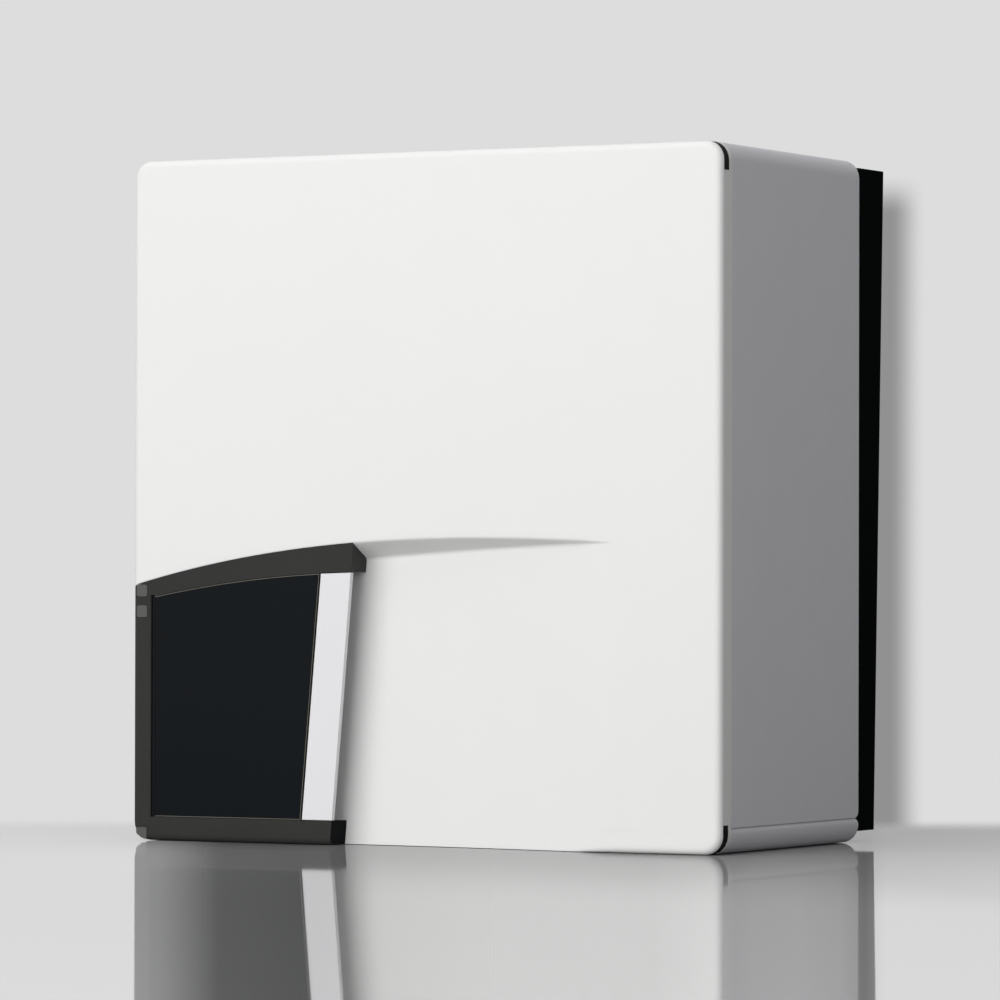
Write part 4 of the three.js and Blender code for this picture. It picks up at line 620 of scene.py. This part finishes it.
def makeCamera():
    yaw, pitch, roll = (math.radians(shot[name]) for name in ("yaw", "pitch", "roll"))
    forward = Vector((-math.sin(yaw) * math.cos(pitch), math.cos(yaw) * math.cos(pitch), math.sin(pitch)))
    level = Vector((math.cos(yaw), math.sin(yaw), 0))
    upright = level.cross(forward)
    right = math.cos(roll) * level + math.sin(roll) * upright
    up = math.cos(roll) * upright - math.sin(roll) * level
    data = bpy.data.cameras.new("shot")
    data.lens = shot["lens"]
    data.sensor_width = shot["sensor"]
    data.clip_end = shot["farthest"]
    camera = newObject("shot", data)
    turn = Matrix((right, up, -forward)).transposed().to_4x4()
    camera.matrix_world = Matrix.Translation((shot["x"], shot["y"], shot["z"])) @ turn
    scene.camera = camera
    return forward, level


viewForward, viewLevel = makeCamera()
groundForward = (viewForward.x, viewForward.y, 0)      # the way the camera looks, flat on the floor

# Studio: a pale glossy floor that fades into the backdrop, and soft lights. Metres and watts.
# Pairs are where a fade starts and ends
studio = {
    "backdrop": "dddddd", "ambient": 0.07,
    "floorLevel": -0.0004, "floorHalf": 6.0, "floorCells": 8,
    "floorShade": "ffffff", "bounceShade": "acacac",
    "mirror": 0.62, "mirrorTint": 0.98, "mirrorRough": 0.04,
    "fadeBehind": (0.24, 0.55), "fadeAside": (0.8, 1.8),
    # painted shade on the floor in front of the boiler, as a share of the floor's colour across the view, by
    # sideways over forward distance
    "floorSpan": 0.0725,
    "paintedFloorShade": {0.05: 1.0, 0.075: 1.0, 0.1: 0.95, 0.17: 0.37, 0.27: 0.32, 0.5: 0.54, 0.68: 0.57,
                   0.8: 0.9, 0.85: 0.94, 0.9: 0.88, 0.93: 0.68, 0.955: 1.0, 1.0: 1.0},
    # painted contact shadow: darker floor close to the boiler, right of where the flap is seen
    "contactShadow": 0.26, "contactReach": 0.85, "contactSide": (0.28, 0.36),
    # soft shadow on the backdrop beside the wall frame, by sideways and upward parts of the view
    "wallShadow": "919192", "shadowLeft": (0.0585, 0.0615), "shadowRight": (0.0662, 0.0725),
    "shadowTop": (0.0612, 0.0685),
    "lights": {
        "key": {"power": 404.0, "width": 8.0, "tall": 4.0, "place": (-1.79, -6.25, 1.5)},
        "overhead": {"power": 61.0, "width": 5.0, "tall": 5.0, "place": (0.0, -0.5, 3.5)},
        "fill": {"power": 92.0, "width": 4.0, "tall": 4.0, "place": (4.2, -4.6, 1.0)},
    },
}


# Glossy table top, and clear where the backdrop takes over
def floorMaterial():
    material = bpy.data.materials.new("glossy_table")
    material.use_nodes = True
    tree = material.node_tree
    tree.nodes.clear()
    path = addNode(tree, "ShaderNodeLightPath")
    place = addNode(tree, "ShaderNodeTexCoord")

    # The far sides vanish for the camera alone, and still keep the lamps' light out from below
    ahead = addNode(tree, "ShaderNodeVectorMath", {"operation": "DOT_PRODUCT"}, {
        0: place.outputs["Object"], 1: groundForward})
    fadeBehind = addNode(tree, "ShaderNodeMapRange", {"interpolation_type": "SMOOTHSTEP"}, {
        "Value": ahead.outputs["Value"],
        "From Min": studio["fadeBehind"][0], "From Max": studio["fadeBehind"][1]})
    offLine = addNode(tree, "ShaderNodeVectorMath", {"operation": "DOT_PRODUCT"}, {
        0: place.outputs["Object"], 1: tuple(viewLevel)})
    offAxis = addNode(tree, "ShaderNodeMath", {"operation": "ABSOLUTE"}, {0: offLine.outputs["Value"]})
    fadeAside = addNode(tree, "ShaderNodeMapRange", {"interpolation_type": "SMOOTHSTEP"}, {
        "Value": offAxis.outputs["Value"],
        "From Min": studio["fadeAside"][0], "From Max": studio["fadeAside"][1]})
    seenAside = addNode(tree, "ShaderNodeMath", {"operation": "MULTIPLY"}, {
        0: fadeAside.outputs["Result"], 1: path.outputs["Is Camera Ray"]})
    fade = addNode(tree, "ShaderNodeMath", {"operation": "MAXIMUM"}, {
        0: fadeBehind.outputs["Result"], 1: seenAside.outputs["Value"]})

    # The floor's colour with painted shade in front of the boiler, which changes across the view, and is
    # plain for light that bounces off it
    fromView = addNode(tree, "ShaderNodeVectorMath", {"operation": "SUBTRACT"}, {
        0: place.outputs["Object"], 1: (shot["x"], shot["y"], 0)})
    sideways = addNode(tree, "ShaderNodeVectorMath", {"operation": "DOT_PRODUCT"}, {
        0: fromView.outputs["Vector"], 1: tuple(viewLevel)})
    away = addNode(tree, "ShaderNodeVectorMath", {"operation": "DOT_PRODUCT"}, {
        0: fromView.outputs["Vector"], 1: groundForward})
    across = addNode(tree, "ShaderNodeMath", {"operation": "DIVIDE"}, {
        0: sideways.outputs["Value"], 1: away.outputs["Value"]})
    spread = addNode(tree, "ShaderNodeMapRange", inputs={
        "Value": across.outputs["Value"], "From Min": -studio["floorSpan"], "From Max": studio["floorSpan"]})
    # painted shade: the ramp darkens the floor in a band in front of the boiler
    ramp = addNode(tree, "ShaderNodeValToRGB", inputs={"Fac": spread.outputs["Result"]})
    stops = ramp.color_ramp.elements
    for position, share in studio["paintedFloorShade"].items():
        stop = stops.new(position)
        stop.color = [channel * share for channel in srgb(studio["floorShade"])] + [1]
    stops.remove(stops[0])
    stops.remove(stops[-1])
    shade = addNode(tree, "ShaderNodeMix", {"data_type": "RGBA"}, {
        0: path.outputs["Is Camera Ray"], 6: srgb(studio["bounceShade"]) + [1], 7: ramp.outputs["Color"]})
    base = addNode(tree, "ShaderNodeBsdfDiffuse", inputs={"Color": shade.outputs[2]})
    mirror = addNode(tree, "ShaderNodeBsdfGlossy", inputs={
        "Color": [studio["mirrorTint"]] * 3, "Roughness": studio["mirrorRough"]})
    polished = addNode(tree, "ShaderNodeMixShader", inputs={
        0: studio["mirror"], 1: base.outputs[0], 2: mirror.outputs[0]})

    # Painted contact shadow: darker close to the boiler's front and right side
    point = addNode(tree, "ShaderNodeSeparateXYZ", inputs={"Vector": place.outputs["Object"]})
    before = addNode(tree, "ShaderNodeMath", {"operation": "SUBTRACT"}, {
        0: frontFace, 1: point.outputs["Y"]})
    beside = addNode(tree, "ShaderNodeMath", {"operation": "SUBTRACT"}, {
        0: point.outputs["X"], 1: halfWidth})
    clearance = addNode(tree, "ShaderNodeMath", {"operation": "MAXIMUM"}, {
        0: before.outputs["Value"], 1: beside.outputs["Value"]})
    near = addNode(tree, "ShaderNodeMapRange", {"interpolation_type": "SMOOTHSTEP"}, {
        "Value": clearance.outputs["Value"], "From Min": 0.0, "From Max": studio["contactReach"],
        "To Min": studio["contactShadow"], "To Max": 0.0})
    underCover = addNode(tree, "ShaderNodeMapRange", {"interpolation_type": "SMOOTHSTEP"}, {
        "Value": spread.outputs["Result"],
        "From Min": studio["contactSide"][0], "From Max": studio["contactSide"][1]})
    contact = addNode(tree, "ShaderNodeMath", {"operation": "MULTIPLY"}, {
        0: near.outputs["Result"], 1: underCover.outputs["Result"]})
    dark = addNode(tree, "ShaderNodeBsdfDiffuse", inputs={"Color": (0, 0, 0)})
    shadowed = addNode(tree, "ShaderNodeMixShader", inputs={
        0: contact.outputs["Value"], 1: polished.outputs[0], 2: dark.outputs[0]})

    clear = addNode(tree, "ShaderNodeBsdfTransparent")
    faded = addNode(tree, "ShaderNodeMixShader", inputs={
        0: fade.outputs["Value"], 1: shadowed.outputs[0], 2: clear.outputs[0]})
    addNode(tree, "ShaderNodeOutputMaterial", inputs={"Surface": faded.outputs[0]})
    return material


def makeFloor():
    work = bmesh.new()
    bmesh.ops.create_grid(work, x_segments=studio["floorCells"], y_segments=studio["floorCells"],
                          size=studio["floorHalf"])
    mesh = bpy.data.meshes.new("floor")
    work.to_mesh(mesh)
    work.free()
    floor = newObject("floor", mesh)
    floor.location.z = studio["floorLevel"]
    mesh.materials.append(floorMaterial())


# The backdrop as the camera and clean reflections see it, and a weak even light for the rest
def makeWorld():
    world = bpy.data.worlds.new("studio")
    world.use_nodes = True
    tree = world.node_tree
    tree.nodes.clear()
    path = addNode(tree, "ShaderNodeLightPath")
    seen = addNode(tree, "ShaderNodeMath", {"operation": "MAXIMUM"}, {
        0: path.outputs["Is Camera Ray"], 1: path.outputs["Is Glossy Ray"]})
    seenToo = addNode(tree, "ShaderNodeMath", {"operation": "MAXIMUM"}, {
        0: seen.outputs["Value"], 1: path.outputs["Is Transmission Ray"]})
    direct = addNode(tree, "ShaderNodeMath", {"operation": "LESS_THAN"}, {
        0: path.outputs["Diffuse Depth"], 1: 0.5})
    shown = addNode(tree, "ShaderNodeMath", {"operation": "MULTIPLY"}, {
        0: seenToo.outputs["Value"], 1: direct.outputs["Value"]})
    soft = addNode(tree, "ShaderNodeBackground", inputs={
        "Color": (1, 1, 1), "Strength": studio["ambient"]})

    # The wall frame's shadow, an upright strip that only the camera sees
    toward = addNode(tree, "ShaderNodeTexCoord")
    sideways = addNode(tree, "ShaderNodeVectorMath", {"operation": "DOT_PRODUCT"}, {
        0: toward.outputs["Generated"], 1: tuple(viewLevel)})
    upward = addNode(tree, "ShaderNodeSeparateXYZ", inputs={"Vector": toward.outputs["Generated"]})
    onLeft = addNode(tree, "ShaderNodeMapRange", {"interpolation_type": "SMOOTHSTEP"}, {
        "Value": sideways.outputs["Value"],
        "From Min": studio["shadowLeft"][0], "From Max": studio["shadowLeft"][1]})
    onRight = addNode(tree, "ShaderNodeMapRange", {"interpolation_type": "SMOOTHSTEP"}, {
        "Value": sideways.outputs["Value"], "To Min": 1.0, "To Max": 0.0,
        "From Min": studio["shadowRight"][0], "From Max": studio["shadowRight"][1]})
    below = addNode(tree, "ShaderNodeMapRange", {"interpolation_type": "SMOOTHSTEP"}, {
        "Value": upward.outputs["Z"], "To Min": 1.0, "To Max": 0.0,
        "From Min": studio["shadowTop"][0], "From Max": studio["shadowTop"][1]})
    across = addNode(tree, "ShaderNodeMath", {"operation": "MULTIPLY"}, {
        0: onLeft.outputs["Result"], 1: onRight.outputs["Result"]})
    strip = addNode(tree, "ShaderNodeMath", {"operation": "MULTIPLY"}, {
        0: across.outputs["Value"], 1: below.outputs["Result"]})
    stripSeen = addNode(tree, "ShaderNodeMath", {"operation": "MULTIPLY"}, {
        0: strip.outputs["Value"], 1: path.outputs["Is Camera Ray"]})
    wall = addNode(tree, "ShaderNodeMix", {"data_type": "RGBA"}, {
        0: stripSeen.outputs["Value"],
        6: srgb(studio["backdrop"]) + [1], 7: srgb(studio["wallShadow"]) + [1]})

    backdrop = addNode(tree, "ShaderNodeBackground", inputs={"Color": wall.outputs[2]})
    mixed = addNode(tree, "ShaderNodeMixShader", inputs={
        0: shown.outputs["Value"], 1: soft.outputs[0], 2: backdrop.outputs[0]})
    addNode(tree, "ShaderNodeOutputWorld", inputs={"Surface": mixed.outputs[0]})
    scene.world = world


# A soft box that looks at the boiler's middle and leaves no image of itself in the gloss
def makeLight(name, light):
    data = bpy.data.lights.new(name, "AREA")
    data.shape = "RECTANGLE"
    data.size = light["width"]
    data.size_y = light["tall"]
    data.energy = light["power"]
    lamp = newObject(name, data)
    lamp.location = light["place"]
    aim = Vector((0, 0, height / 2)) - lamp.location
    lamp.rotation_euler = aim.to_track_quat("-Z", "Y").to_euler()
    lamp.visible_glossy = False


makeFloor()
makeWorld()
for name, light in studio["lights"].items():
    makeLight(name, light)
scene.view_settings.view_transform = "Standard"
print("studio made")
